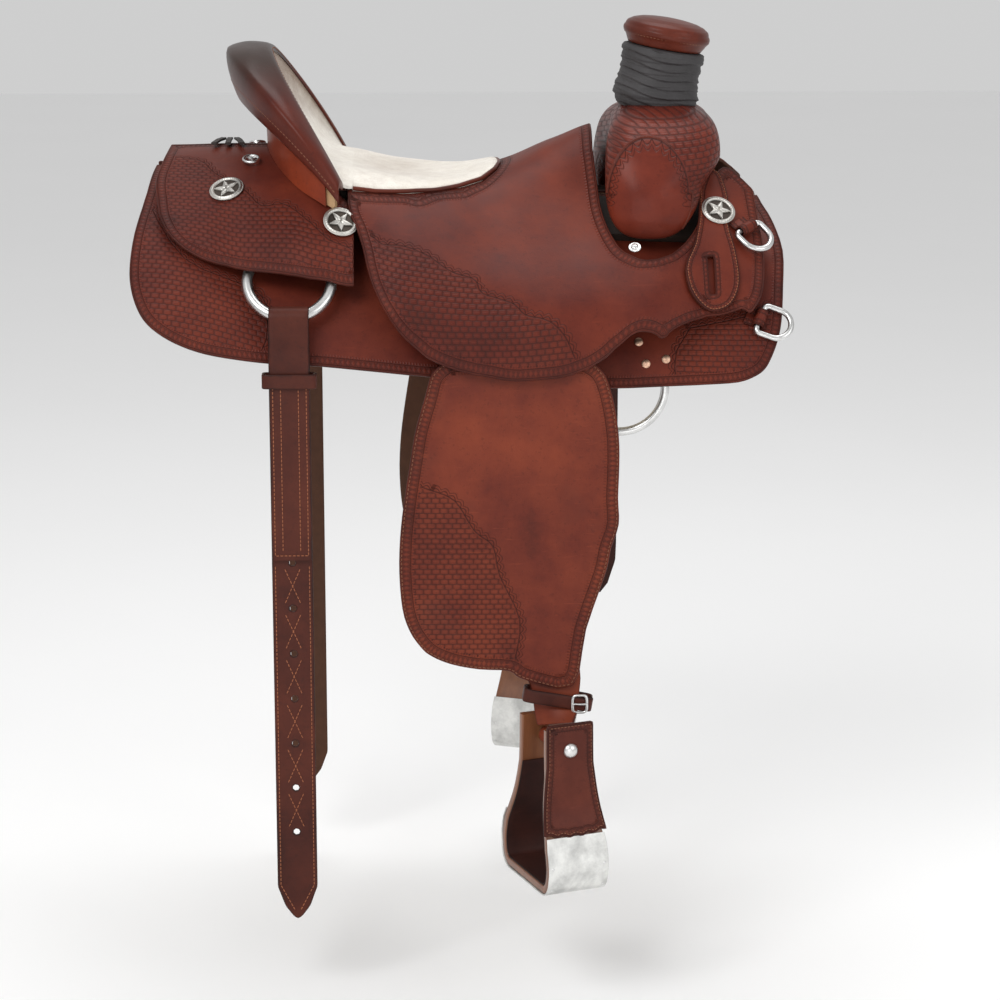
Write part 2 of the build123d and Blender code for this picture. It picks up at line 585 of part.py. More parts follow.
# ---------------------------------------------------------------------------
# rear rigging rings and flank billets
# ---------------------------------------------------------------------------
rear_tabs = []
for name, sd in SIDES:
    pl = ring_plane(sd)
    ring = Torus(REAR_RING_R, RING_SECTION / 2)
    # local y of this plane points up the slope on both sides
    up = pl.y_dir
    sgn = 1.0 if up.Z > 0 else -1.0
    ring = pl * (Pos(0, -sgn * REAR_RING_R, 0) * ring)
    write("rear_ring_" + name, one_solid(ring))
    bb = ring.bounding_box()
    # strap tab holding the ring, under the jockey
    t = math.radians(RING_TILT)
    ytop = RING_TOP_Y
    ybot = ytop + 2 * REAR_RING_R * math.cos(t)
    zbot = RING_TOP_Z - 2 * REAR_RING_R * math.sin(t)
    # billet: loop round the bottom wire, double upper part, long tapered tail
    by, bz = ybot, zbot
    rr = RING_SECTION / 2 + 3.95
    t1 = 4.5
    loop = Cylinder(rr + t1, 30, rotation=(0, 90, 0)) - Cylinder(rr, BILLET_W + 2, rotation=(0, 90, 0))
    # opened below so the strap carries on down as two plies
    loop = Pos(RING_X, sd * by, bz) * loop
    yo = by + 11.5
    up_ply = Pos(RING_X, sd * (yo + t1), bz - 128) * Box(BILLET_W - 2, t1, 232)
    z0 = bz - 2
    zt = -690.0
    tail = Pos(0, 0, 0) * extrude(Face(Wire(Polyline(
        Vector(RING_X - 21, sd * yo - t1 / 2, z0), Vector(RING_X + 21, sd * yo - t1 / 2, z0),
        Vector(RING_X + 21, sd * yo - t1 / 2, zt + 34), Vector(RING_X + 8, sd * yo - t1 / 2, zt + 6),
        Vector(RING_X, sd * yo - t1 / 2, zt), Vector(RING_X - 8, sd * yo - t1 / 2, zt + 6),
        Vector(RING_X - 21, sd * yo - t1 / 2, zt + 34), close=True).edges())), amount=t1, dir=(0, 1, 0))
    hub = Pos(RING_X, sd * by, bz) * Cylinder(rr, BILLET_W + 4, rotation=(0, 90, 0))
    billet = loop + tail
    billet = billet + up_ply
    billet = billet - hub
    for k in range(7):
        billet = billet - Pos(RING_X, sd * yo, -300 - 48.8 * k) * Cylinder(3.6, 30, rotation=(90, 0, 0))
    write("rear_billet_" + name, one_solid(billet))
    zk = bz - 62
    keep = (Pos(RING_X, sd * (yo + 2.2), zk) * Box(BILLET_W + 8.4, 15.6, 15)
            - Pos(RING_X, sd * (yo + 2.2), zk) * Box(BILLET_W + 0.8, 9.8, 20))
    write("billet_keeper_" + name, one_solid(keep))
    # rear rigging leather under the jockey: an eye round the ring's top wire on a tab
    torus_gap = pl * (Pos(0, -sgn * REAR_RING_R, 0) * Torus(REAR_RING_R, RING_SECTION / 2 + 0.5))
    eye = Pos(RING_X, sd * ytop, RING_TOP_Z) * Cylinder(9.0, 26, rotation=(0, 90, 0))
    tabp = frame_at(RING_X, ytop - 17.0, RING_TOP_Z + 10.5, sd, 55.0)
    tab = tabp * (Pos(0, 0, -2.5) * Box(26, 34, 3.2))
    rear_tabs.append(one_solid((eye + tab) - torus_gap))
write("rear_rig_tabs", rear_tabs)

# ---------------------------------------------------------------------------
# front rigging ring behind the skirt, hung from a rigging plate under the skirt
# ---------------------------------------------------------------------------
FR_X, FR_Y, FR_Z = 163.0, 166.0, -130.0
front_tabs = []
for name, sd in SIDES:
    fr = torus_xz(FR_X, FR_Y, FR_Z, FRONT_RING_R, FRONT_RING_SECTION / 2, sd)
    write("front_ring_" + name, one_solid(fr))
    zt = FR_Z + FRONT_RING_R
    lug = Pos(FR_X, sd * FR_Y, zt) * Cylinder(FRONT_RING_SECTION / 2 + 3.2, 30, rotation=(0, 90, 0))
    plate = Pos(FR_X, sd * (FR_Y - 6.2), zt + 14) * Box(52, 3.2, 36)
    lug = (plate + lug) - torus_xz(FR_X, FR_Y, FR_Z, FRONT_RING_R, FRONT_RING_SECTION / 2 + 0.5, sd)
    lug = lug - skirts[name]
    front_tabs.append(one_solid(lug))
write("front_rig_plates", front_tabs)

# left latigo: folded over the left ring's bottom wire and hanging
lz = FR_Z - FRONT_RING_R
ly = FR_Y
lw = 42.0
r0 = FRONT_RING_SECTION / 2
lat = Pos(FR_X, ly, lz) * Cylinder(r0 + 4.6, lw, rotation=(0, 90, 0))
prof = [(FR_X - 21, lz), (FR_X + 21, lz), (FR_X + 21, -380), (FR_X + 14, -414), (FR_X - 6, -446), (FR_X - 21, -420)]
lat = lat + Solid(extrude(Face(Wire(Polyline(*[Vector(x, ly - 2.2, z) for x, z in prof], close=True).edges())), amount=4.4, dir=(0, 1, 0)).wrapped)
lat = lat - torus_xz(FR_X, FR_Y, FR_Z, FRONT_RING_R, r0 + 0.15, 1)
write("latigo_left", one_solid(lat))

# ---------------------------------------------------------------------------
# breast-collar D rings and lower front dees on the skirt's front
# ---------------------------------------------------------------------------


def dee(w, h, r):
    """D ring: straight bar along local x, bow reaching h toward local +y."""
    y0 = h - w / 2
    a, c = w / 2, 5.0
    path = Wire([Line((-a + c, 0), (a - c, 0)), RadiusArc((a - c, 0), (a, c), -c), Line((a, c), (a, y0)),
                 ThreePointArc((a, y0), (0, h), (-a, y0)), Line((-a, y0), (-a, c)), RadiusArc((-a, c), (-a + c, 0), -c)])
    section = Plane(origin=(0, 0, 0), x_dir=(0, 1, 0), z_dir=(1, 0, 0)) * Circle(r)
    return sweep(section, path=path)


dee_tabs = []
for kind, cx, cyz, lift, ang, w, h, r in (("breast_ring_", 297.0, 110.0, 5.8, -128.0, 34.0, 30.0, 3.3),
                                          ("front_dee_", 308.0, -58.0, 0.0, -112.0, 32.0, 33.0, 3.2)):
    if kind == "breast_ring_":
        p = plane_on(SEAT, cx, cyz, -1, lift)
    else:
        zc = ridge(cx) - BARREL_R * math.cos(spread(cx))
        p = frame_at(cx, y_of(cx, cyz, 19.0) + 6.6, cyz, -1, math.degrees(math.asin((cyz - zc) / (BARREL_R + 19.0))))
    up = 1.0 if p.y_dir.Z > 0 else -1.0
    # bar direction: `ang` degrees round from +X in the side view; the bow reaches forward and down
    spin = p * Rot(0, 0, up * ang + (0 if up > 0 else 0))
    ring = one_solid(spin * dee(w, h, r))
    # strap tab wrapped over the straight bar
    eye = Rot(0, 90, 0) * Cylinder(r + 2.2, w - 12)
    gap = Rot(0, 90, 0) * Cylinder(r + 0.5, w + 20)
    tab = Pos(0, -8.0, -r - 1.0) * Box(w - 12, 14, 1.8)
    held = one_solid(spin * ((eye + tab) - gap))
    write(kind + "right", ring)
    write(kind + "left", ring.mirror(Plane.XZ))
    dee_tabs.append(held)
    dee_tabs.append(held.mirror(Plane.XZ))
write("dee_tabs", dee_tabs)

# ---------------------------------------------------------------------------
# rear tie loops and skirt lacing behind the cantle
# ---------------------------------------------------------------------------
lace = []
for i, x in enumerate((-258.0, -247.0, -236.0)):
    lace.append(Pos(x, 0, 109.2) * Rot(0, 0, 10 * (i - 1)) * Box(6.5, 46, 4.2))
write("jockey_lacing", lace)
loops = []
for name, sd in SIDES:
    p = plane_on(REAR, -220.0, 62.0, sd)
    loop = p * (Pos(0, 0, 11.0) * Rot(90, 0, 0) * Torus(8.0, 1.7))
    stem = p * (Pos(0, 0, 1.0) * Cylinder(4.5, 2.6, align=(Align.CENTER, Align.CENTER, Align.MIN)))
    loops.append(one_solid(loop + stem))
write("tie_loops", loops)

# ---------------------------------------------------------------------------
# fenders and stirrup leathers
# ---------------------------------------------------------------------------
FENDER = dense([(-16, -88), (-33, -102), (-41, -129), (-50, -160), (-55, -188), (-63, -239), (-67, -276), (-68, -313),
                (-65, -351), (-58, -374), (-48, -390), (-37, -401), (-15, -411), (15, -417), (46, -419), (60, -428),
                (112, -436), (126, -374), (146, -313), (151, -288), (159, -262), (158, -234), (159, -199),
                (158, -167), (152, -130), (142, -102), (124, -88)], 3)
for name, sd in SIDES:
    fender = outline_prism(FENDER, sd, FENDER_Y, FENDER_Y + FENDER_T)
    write("fender_" + name, fender)
    # stirrup leather: from the tree bar, over the skirt, down behind the fender to the stirrup
    path = dense([(122, 15), (140, 3), (160, -10), (182, -30), (200, -55), (210, -80), (215, -110), (217.5, -150), (217.5, -300),
                  (217.5, -400), (219, -436), (227, -458), (235, -470)], 4)
    t = 4.0
    lo = inward(path, t / 2)
    hi = inward(path, -t / 2)
    prof = [Vector(HINGE_X - 32, sd * y, z) for y, z in hi] + [Vector(HINGE_X - 32, sd * y, z) for y, z in reversed(lo)]
    sl = extrude(Face(Wire(Polyline(*prof, close=True).edges())), amount=64, dir=(1, 0, 0))
    # narrowed neck at the lower end
    side_cut = outline_prism([(HINGE_X - 40, 60), (HINGE_X + 40, 60), (HINGE_X + 40, -390), (122, -425), (118, -520),
                              (69, -520), (68, -430), (HINGE_X - 36, -385)], sd)
    sl = Solid(sl.wrapped) & side_cut
    # rounded eye over the bar
    eye = Pos(HINGE_X, sd * 119, HINGE_Z + 8) * Cylinder(5.5, 60, rotation=(0, 90, 0))
    sl = sl + eye
    # twisted neck and the turn round the stirrup bolt
    for k, (ang, zz) in enumerate(((0.0, -470.0), (28.0, -473.0), (50.0, -476.0), (69.0, -482.0))):
        sl = sl + Pos(STIRRUP_X + 1.0 * (3 - k) / 3.0, sd * STIRRUP_Y, zz) * Rot(0, 0, sd * ang) * Box(46, 9, 9 if k < 3 else 18)
    turn = Pos(STIRRUP_X, sd * STIRRUP_Y, STIRRUP_BOLT_Z) * Rot(0, 0, -sd * STIRRUP_YAW) * Cylinder(9.0, 46, rotation=(90, 0, 0))
    turn_eye = Pos(STIRRUP_X, sd * STIRRUP_Y, STIRRUP_BOLT_Z) * Rot(0, 0, -sd * STIRRUP_YAW) * Cylinder(4.7, 60, rotation=(90, 0, 0))
    sl = (sl + turn) - turn_eye
    sl = sl - Pos(HINGE_X, sd * 119, HINGE_Z + 8) * Cylinder(2.2, 80, rotation=(0, 90, 0))
    write("stirrup_leather_" + name, one_solid(sl))

# ---------------------------------------------------------------------------
# stirrups: local frame, t across the tread (outward), d fore and aft, z up
# ---------------------------------------------------------------------------
DEPTH_TOP, DEPTH_BOT = 50.0, 66.0
H = STIRRUP_BOLT_Z - TREAD_Z
for name, sd in SIDES:
    # local x axis = fore/aft d, local y axis = outward
    yaw = -sd * STIRRUP_YAW
    loc = Pos(STIRRUP_X, sd * STIRRUP_Y, STIRRUP_BOLT_Z) * Rot(0, 0, yaw)
    TT, TB = STIRRUP_HALF_TOP, STIRRUP_HALF_BOT

    def u_profile(grow, zt, zb, wall, cut_z=None):
        outer = dense([(TT + grow, zt), (TT + grow + 1, -20), (TT + 6 + grow, -60), (TB - 6 + grow, -95), (TB + grow, -118),
                       (TB - 4 + grow, zb)], 4)
        inner = [(y - wall, z if z > zb + 12 else zb + 12) for y, z in outer]
        return outer, inner

    outer, inner = u_profile(0.0, 22.0, -H, 8.5)
    wood_o = [(y, z) for y, z in outer] + [(-y, z) for y, z in reversed(outer)]
    wood_i = [(y, z + (30 if i == 0 else 0)) for i, (y, z) in enumerate(inner)]
    wood_i = wood_i + [(-y, z) for y, z in reversed(wood_i)]

    def slab(pts, width):
        f = Face(Wire(Polyline(*[Vector(-width / 2, y, z) for y, z in pts], close=True).edges()))
        return Solid(extrude(f, amount=width, dir=(1, 0, 0)).wrapped)

    taper = [Vector(-DEPTH_TOP / 2, 0, 40), Vector(DEPTH_TOP / 2, 0, 40), Vector(DEPTH_TOP / 2, 0, -30),
             Vector(DEPTH_BOT / 2, 0, -100), Vector(DEPTH_BOT / 2, 0, -H - 30), Vector(-DEPTH_BOT / 2, 0, -H - 30),
             Vector(-DEPTH_BOT / 2, 0, -100), Vector(-DEPTH_TOP / 2, 0, -30)]

    def tapered(extra):
        v = [Vector(p.X + math.copysign(extra, p.X), -200, p.Z) for p in taper]
        return Solid(extrude(Face(Wire(Polyline(*v, close=True).edges())), amount=400, dir=(0, 1, 0)).wrapped)

    wood = (slab(wood_o, 100) - slab(wood_i, 120)) & tapered(0.0)
    bolt_hole = Cylinder(5.2, 300, rotation=(90, 0, 0))
    wood = one_solid(wood - bolt_hole)
    write("stirrup_" + name, loc * wood)
    # metal binding round the lower part
    o2, _ = u_profile(0.4, 22.0, -H - 0.4, 8.5)
    o3, _ = u_profile(2.2, 22.0, -H - 2.2, 8.5)
    full = lambda o: [(y, z) for y, z in o] + [(-y, z) for y, z in reversed(o)]
    bind = (slab(full(o3), 110) - slab(full(o2), 130)) & tapered(0.6)
    bind = bind - Pos(0, 0, 60 - 86) * Box(200, 400, 120)
    write("stirrup_binding_" + name, loc * one_solid(bind))
    # leather side cover on the outer side
    o4, _ = u_profile(0.4, 30.0, -H - 0.4, 8.5)
    o5, _ = u_profile(4.4, 30.0, -H - 4.4, 8.5)
    cov = (slab(full(o5), 110) - slab(full(o4), 130)) & tapered(1.0)
    cov = cov & Pos(0, sd * 100, -30) * Box(200, 200, 112)
    cov = one_solid(cov) - bolt_hole
    write("stirrup_cover_" + name, loc * one_solid(cov))
    # tread leather
    tread = Pos(0, 0, -H + 12 + 2.3) * Box(DEPTH_BOT - 2, 2 * (TB - 16), 4.0)
    write("stirrup_tread_" + name, loc * tread)
    # roller and bolt with domed head
    bolt = Cylinder(4.3, 2 * TT + 14, rotation=(90, 0, 0))
    head2 = Pos(0, -sd * (TT + 5.0), 0) * Cylinder(6.5, 4.0, rotation=(90, 0, 0))
    bolt = one_solid(bolt + Pos(0, sd * (TT + 7.0), 0) * Cylinder(7.8, 3.0, rotation=(90, 0, 0)) + head2)
    write("stirrup_bolt_" + name, loc * bolt)
    # hobble strap: a band round the neck of the leathers
    hz = 41.0
    band_o = Pos(0, 0, hz) * Box(69.5, 22.0, 14.0)
    band_i = Pos(0, 0, hz) * Box(63.0, 15.6, 20.0)
    hob = Pos(STIRRUP_X + 3.5, sd * 223.5, STIRRUP_BOLT_Z) * Rot(0, 0, 0) * (band_o - band_i)
    write("hobble_strap_" + name, one_solid(hob))
    bk = Pos(STIRRUP_X + 24, sd * (223.5 + 12.9), STIRRUP_BOLT_Z + hz) * (Box(17, 3.0, 21) - Box(11, 4.0, 14.6))
    write("hobble_buckle_" + name, one_solid(bk))
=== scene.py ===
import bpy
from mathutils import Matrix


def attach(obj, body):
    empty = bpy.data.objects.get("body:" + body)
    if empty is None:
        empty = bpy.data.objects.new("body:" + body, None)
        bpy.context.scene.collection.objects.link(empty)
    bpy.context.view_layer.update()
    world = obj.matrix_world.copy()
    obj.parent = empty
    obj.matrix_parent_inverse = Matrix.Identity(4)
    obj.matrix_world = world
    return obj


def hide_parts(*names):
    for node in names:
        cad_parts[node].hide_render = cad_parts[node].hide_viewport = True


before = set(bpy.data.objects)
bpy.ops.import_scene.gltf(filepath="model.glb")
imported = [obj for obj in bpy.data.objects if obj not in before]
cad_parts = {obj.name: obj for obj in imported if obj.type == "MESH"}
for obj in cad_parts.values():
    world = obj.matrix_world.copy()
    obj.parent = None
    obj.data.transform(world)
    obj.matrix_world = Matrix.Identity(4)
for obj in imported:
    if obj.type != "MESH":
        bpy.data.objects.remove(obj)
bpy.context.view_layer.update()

import math

import bpy
import numpy as np
from mathutils import Vector
from mathutils.geometry import delaunay_2d_cdt

rng = np.random.default_rng(7)
SIDES = (("right", -1.0), ("left", 1.0))

# ---------------------------------------------------------------------------
# shape of the saddle, millimetres, the same tables as the CAD
# ---------------------------------------------------------------------------
R0 = 260.0
FLEECE_T, SKIRT_T, JOCKEY_T = 13.6, 5.0, 4.5


def smooth(t):
    t = np.clip(t, 0.0, 1.0)
    return t * t * (3 - 2 * t)


def ridge(x):
    return 38.0 + 30.0 * smooth((-x - 150.0) / 180.0) - 2.0 * np.clip(x / 300.0, 0, 1)


def spread(x):
    return np.radians(5.0 + 11.0 * smooth((x + 300.0) / 600.0))


def back_pt(x, s, off):
    a = spread(x)
    th = a + s / R0
    r = R0 + off
    return np.stack([x, -R0 * np.sin(a) + r * np.sin(th), ridge(x) - R0 * np.cos(a) + r * np.cos(th)], -1)


def back_s(x, z, off):
    a = spread(x)
    zc = ridge(x) - R0 * np.cos(a)
    c = np.clip((z - zc) / (R0 + off), -1, 1)
    return (np.arccos(c) - a) * R0


def dense(pts, n=4):
    pts = np.asarray(pts, float)
    m = len(pts)
    out = []
    for i in range(m - 1):
        p0, p1, p2, p3 = pts[max(i - 1, 0)], pts[i], pts[i + 1], pts[min(i + 2, m - 1)]
        for k in range(n):
            t = k / n
            out.append(0.5 * ((2 * p1) + (-p0 + p2) * t + (2 * p0 - 5 * p1 + 4 * p2 - p3) * t * t
                              + (-p0 + 3 * p1 - 3 * p2 + p3) * t ** 3))
    out.append(pts[-1])
    return np.array(out)


def resample(pts, n, closed=False):
    d = np.asarray(pts, float)
    if closed:
        d = np.vstack([d, d[:1]])
    seg = np.linalg.norm(np.diff(d, axis=0), axis=1)
    acc = np.concatenate([[0], np.cumsum(seg)])
    t = np.linspace(0, acc[-1], n + (1 if closed else 0))
    out = np.stack([np.interp(t, acc, d[:, j]) for j in range(d.shape[1])], -1)
    return out[:-1] if closed else out


def by_step(pts, step, closed=False):
    d = np.asarray(pts, float)
    e = np.vstack([d, d[:1]]) if closed else d
    l = np.linalg.norm(np.diff(e, axis=0), axis=1).sum()
    return resample(d, max(3, int(round(l / step)) + (0 if closed else 1)), closed)


def pchip(xs, ys, x):
    xs, ys = np.asarray(xs, float), np.asarray(ys, float)
    h = np.diff(xs)
    d = np.diff(ys, axis=0) / h.reshape(-1, *([1] * (ys.ndim - 1)))
    m = np.zeros_like(ys)
    m[0], m[-1] = d[0], d[-1]
    for i in range(1, len(xs) - 1):
        w1, w2 = 2 * h[i] + h[i - 1], h[i] + 2 * h[i - 1]
        ok = d[i - 1] * d[i] > 0
        with np.errstate(divide="ignore", invalid="ignore"):
            v = (w1 + w2) / (w1 / np.where(d[i - 1] == 0, 1, d[i - 1]) + w2 / np.where(d[i] == 0, 1, d[i]))
        m[i] = np.where(ok, v, 0)
    x = np.atleast_1d(x)
    i = np.clip(np.searchsorted(xs, x) - 1, 0, len(xs) - 2)
    hh = h[i].reshape(-1, *([1] * (ys.ndim - 1)))
    t = ((x - xs[i]) / h[i]).reshape(-1, *([1] * (ys.ndim - 1)))
    return ((1 + 2 * t) * (1 - t) ** 2 * ys[i] + t * (1 - t) ** 2 * hh * m[i]
            + t * t * (3 - 2 * t) * ys[i + 1] + t * t * (t - 1) * hh * m[i + 1])


class Table:
    """Surface given by (|y|, z) profiles at x stations. u runs from the centre outward, in about millimetres."""

    def __init__(self, tab, ref=300.0, nt=61):
        self.ks = sorted(tab)
        rs = np.array([resample(dense(tab[k], 8), nt) for k in self.ks])
        self.x0, self.x1 = self.ks[0], self.ks[-1]
        self.gx = np.arange(self.x0, self.x1 + 0.01, 3.0)
        self.g = pchip(self.ks, rs, self.gx)
        self.nt, self.ref = nt, ref

    def yz(self, x, u):
        t = np.clip(np.abs(u) / self.ref, 0, 1) * (self.nt - 1)
        fx = np.clip((x - self.x0) / 3.0, 0, len(self.gx) - 1.001)
        ix, it = fx.astype(int), np.minimum(t.astype(int), self.nt - 2)
        ax, at = (fx - ix)[..., None], (t - it)[..., None]
        g = self.g
        return ((g[ix, it] * (1 - at) + g[ix, it + 1] * at) * (1 - ax)
                + (g[ix + 1, it] * (1 - at) + g[ix + 1, it + 1] * at) * ax)

    def pt(self, x, u):
        p = self.yz(x, u)
        return np.stack([x, np.where(u < 0, -1, 1) * p[..., 0], p[..., 1]], -1)

    def u_at_z(self, x, z):
        """u where the outer, falling part of the profile reaches height z."""
        us = np.linspace(0, self.ref, 241)
        out = []
        for xx, zz in zip(np.atleast_1d(x), np.atleast_1d(z)):
            p = self.yz(np.full(241, xx), us)[:, 1]
            above = np.nonzero(p >= zz)[0]
            out.append(us[above[-1]] if len(above) else 0.0)
        return np.array(out)

    def u_at_y(self, x, y):
        us = np.linspace(0, self.ref, 241)
        return np.array([np.interp(yy, self.yz(np.full(241, xx), us)[:, 0], us) for xx, yy in zip(np.atleast_1d(x), np.atleast_1d(y))])


SEAT = Table({
    -118: [(0, 81), (45, 83), (90, 85), (132, 68), (166, 38), (196, 4), (214, -30), (224, -64), (228, -100)],
    -60: [(0, 70), (45, 72), (88, 74), (126, 60), (166, 33), (205, -2), (228, -36), (236, -72), (238, -122)],
    -20: [(0, 69), (45, 71), (85, 70), (122, 54), (163, 25), (202, -8), (227, -40), (237, -74), (240, -125)],
    40: [(0, 84), (40, 82), (75, 72), (112, 47), (154, 16), (196, -14), (224, -44), (237, -76), (240, -125)],
    100: [(0, 110), (30, 106), (60, 89), (97, 56), (142, 20), (187, -12), (219, -42), (234, -74), (238, -122)],
    150: [(0, 128), (25, 122), (52, 102), (87, 64), (130, 28), (176, -6), (210, -38), (230, -70), (235, -116)],
    200: [(0, 128), (25, 122), (50, 102), (84, 70), (124, 36), (164, 4), (197, -26), (217, -56), (226, -96)],
    260: [(0, 112), (25, 106), (48, 90), (75, 66), (104, 40), (136, 10), (164, -22), (184, -54), (194, -90)],
    325: [(0, 88), (25, 82), (48, 68), (68, 52), (90, 32), (119, 8), (149, -21), (174, -51), (194, -86)],
})
REAR = Table({
    -325: [(3, 105), (46, 98), (90, 80), (120, 62), (150, 41), (168, 26), (180, 10)],
    -270: [(3, 105), (50, 98), (90, 80), (121, 60), (146, 41), (168, 20), (184, 1)],
    -225: [(3, 105), (50, 99), (95, 82), (128, 64), (156, 43), (181, 17), (201, -15)],
    -178: [(3, 106), (55, 100), (100, 84), (130, 67), (157, 46), (181, 20), (203, -18)],
    -150: [(3, 106), (55, 99), (100, 84), (134, 66), (162, 43), (187, 15), (207, -28)],
    -112: [(3, 98), (55, 92), (100, 80), (130, 62), (160, 35), (188, 4), (208, -36)],
}, ref=230.0)


def rim(phi):
    c, s = np.cos(phi), np.sin(phi)
    return -207.0 + 92.0 * (1 - c), 150.0 * s, 60.0 + 150.0 * np.maximum(c, 0.0) ** 0.85


# ---------------------------------------------------------------------------
# mesh building
# ---------------------------------------------------------------------------
def new_obj(name, verts_mm, faces, attrs=None, mat=None, sharp=40.0):
    me = bpy.data.meshes.new(name)
    v = np.asarray(verts_mm, float) / 1000.0
    me.from_pydata(v.tolist(), [], [tuple(int(i) for i in f) for f in faces])
    for k, a in (attrs or {}).items():
        a = np.asarray(a, np.float32)
        kind = "FLOAT_VECTOR" if a.ndim == 2 else "FLOAT"
        at = me.attributes.new(k, kind, "POINT")
        at.data.foreach_set("vector" if a.ndim == 2 else "value", np.ascontiguousarray(a).ravel())
    me.polygons.foreach_set("use_smooth", np.ones(len(me.polygons), bool))
    me.update()
    if sharp:
        me.set_sharp_from_angle(angle=math.radians(sharp))
    o = bpy.data.objects.new(name, me)
    bpy.context.scene.collection.objects.link(o)
    if mat:
        me.materials.append(mat)
    return o


def inside(poly, p):
    x, y = p[:, 0], p[:, 1]
    r = np.zeros(len(p), bool)
    n = len(poly)
    for i in range(n):
        x0, y0 = poly[i - 1]
        x1, y1 = poly[i]
        if y0 == y1:
            continue
        c = (y0 > y) != (y1 > y)
        r ^= c & (x < (x1 - x0) * (y - y0) / (y1 - y0) + x0)
    return r


def seg_dist(p, poly, closed=True):
    """Distance from each point to a polyline, and how far along it the nearest place is."""
    a = np.asarray(poly, float)
    b = np.roll(a, -1, 0) if closed else a[1:]
    a = a if closed else a[:-1]
    d = b - a
    L = np.maximum(np.linalg.norm(d, axis=1), 1e-9)
    acc = np.concatenate([[0], np.cumsum(L)])[:-1]
    best, al = np.full(len(p), 1e9), np.zeros(len(p))
    for s in range(0, len(p), 4000):
        q = p[s:s + 4000]
        t = np.clip(((q[:, None] - a) * d).sum(-1) / (L * L), 0, 1)
        dist = np.linalg.norm(q[:, None] - (a + t[..., None] * d), axis=-1)
        k = dist.argmin(1)
        i = np.arange(len(q))
        best[s:s + 4000], al[s:s + 4000] = dist[i, k], acc[k] + t[i, k] * L[k]
    return best, al


def offset_ring(loop, d, sign):
    t = np.roll(loop, -1, 0) - np.roll(loop, 1, 0)
    t /= np.maximum(np.linalg.norm(t, axis=1, keepdims=True), 1e-9)
    return loop + sign * d * np.stack([-t[:, 1], t[:, 0]], -1)


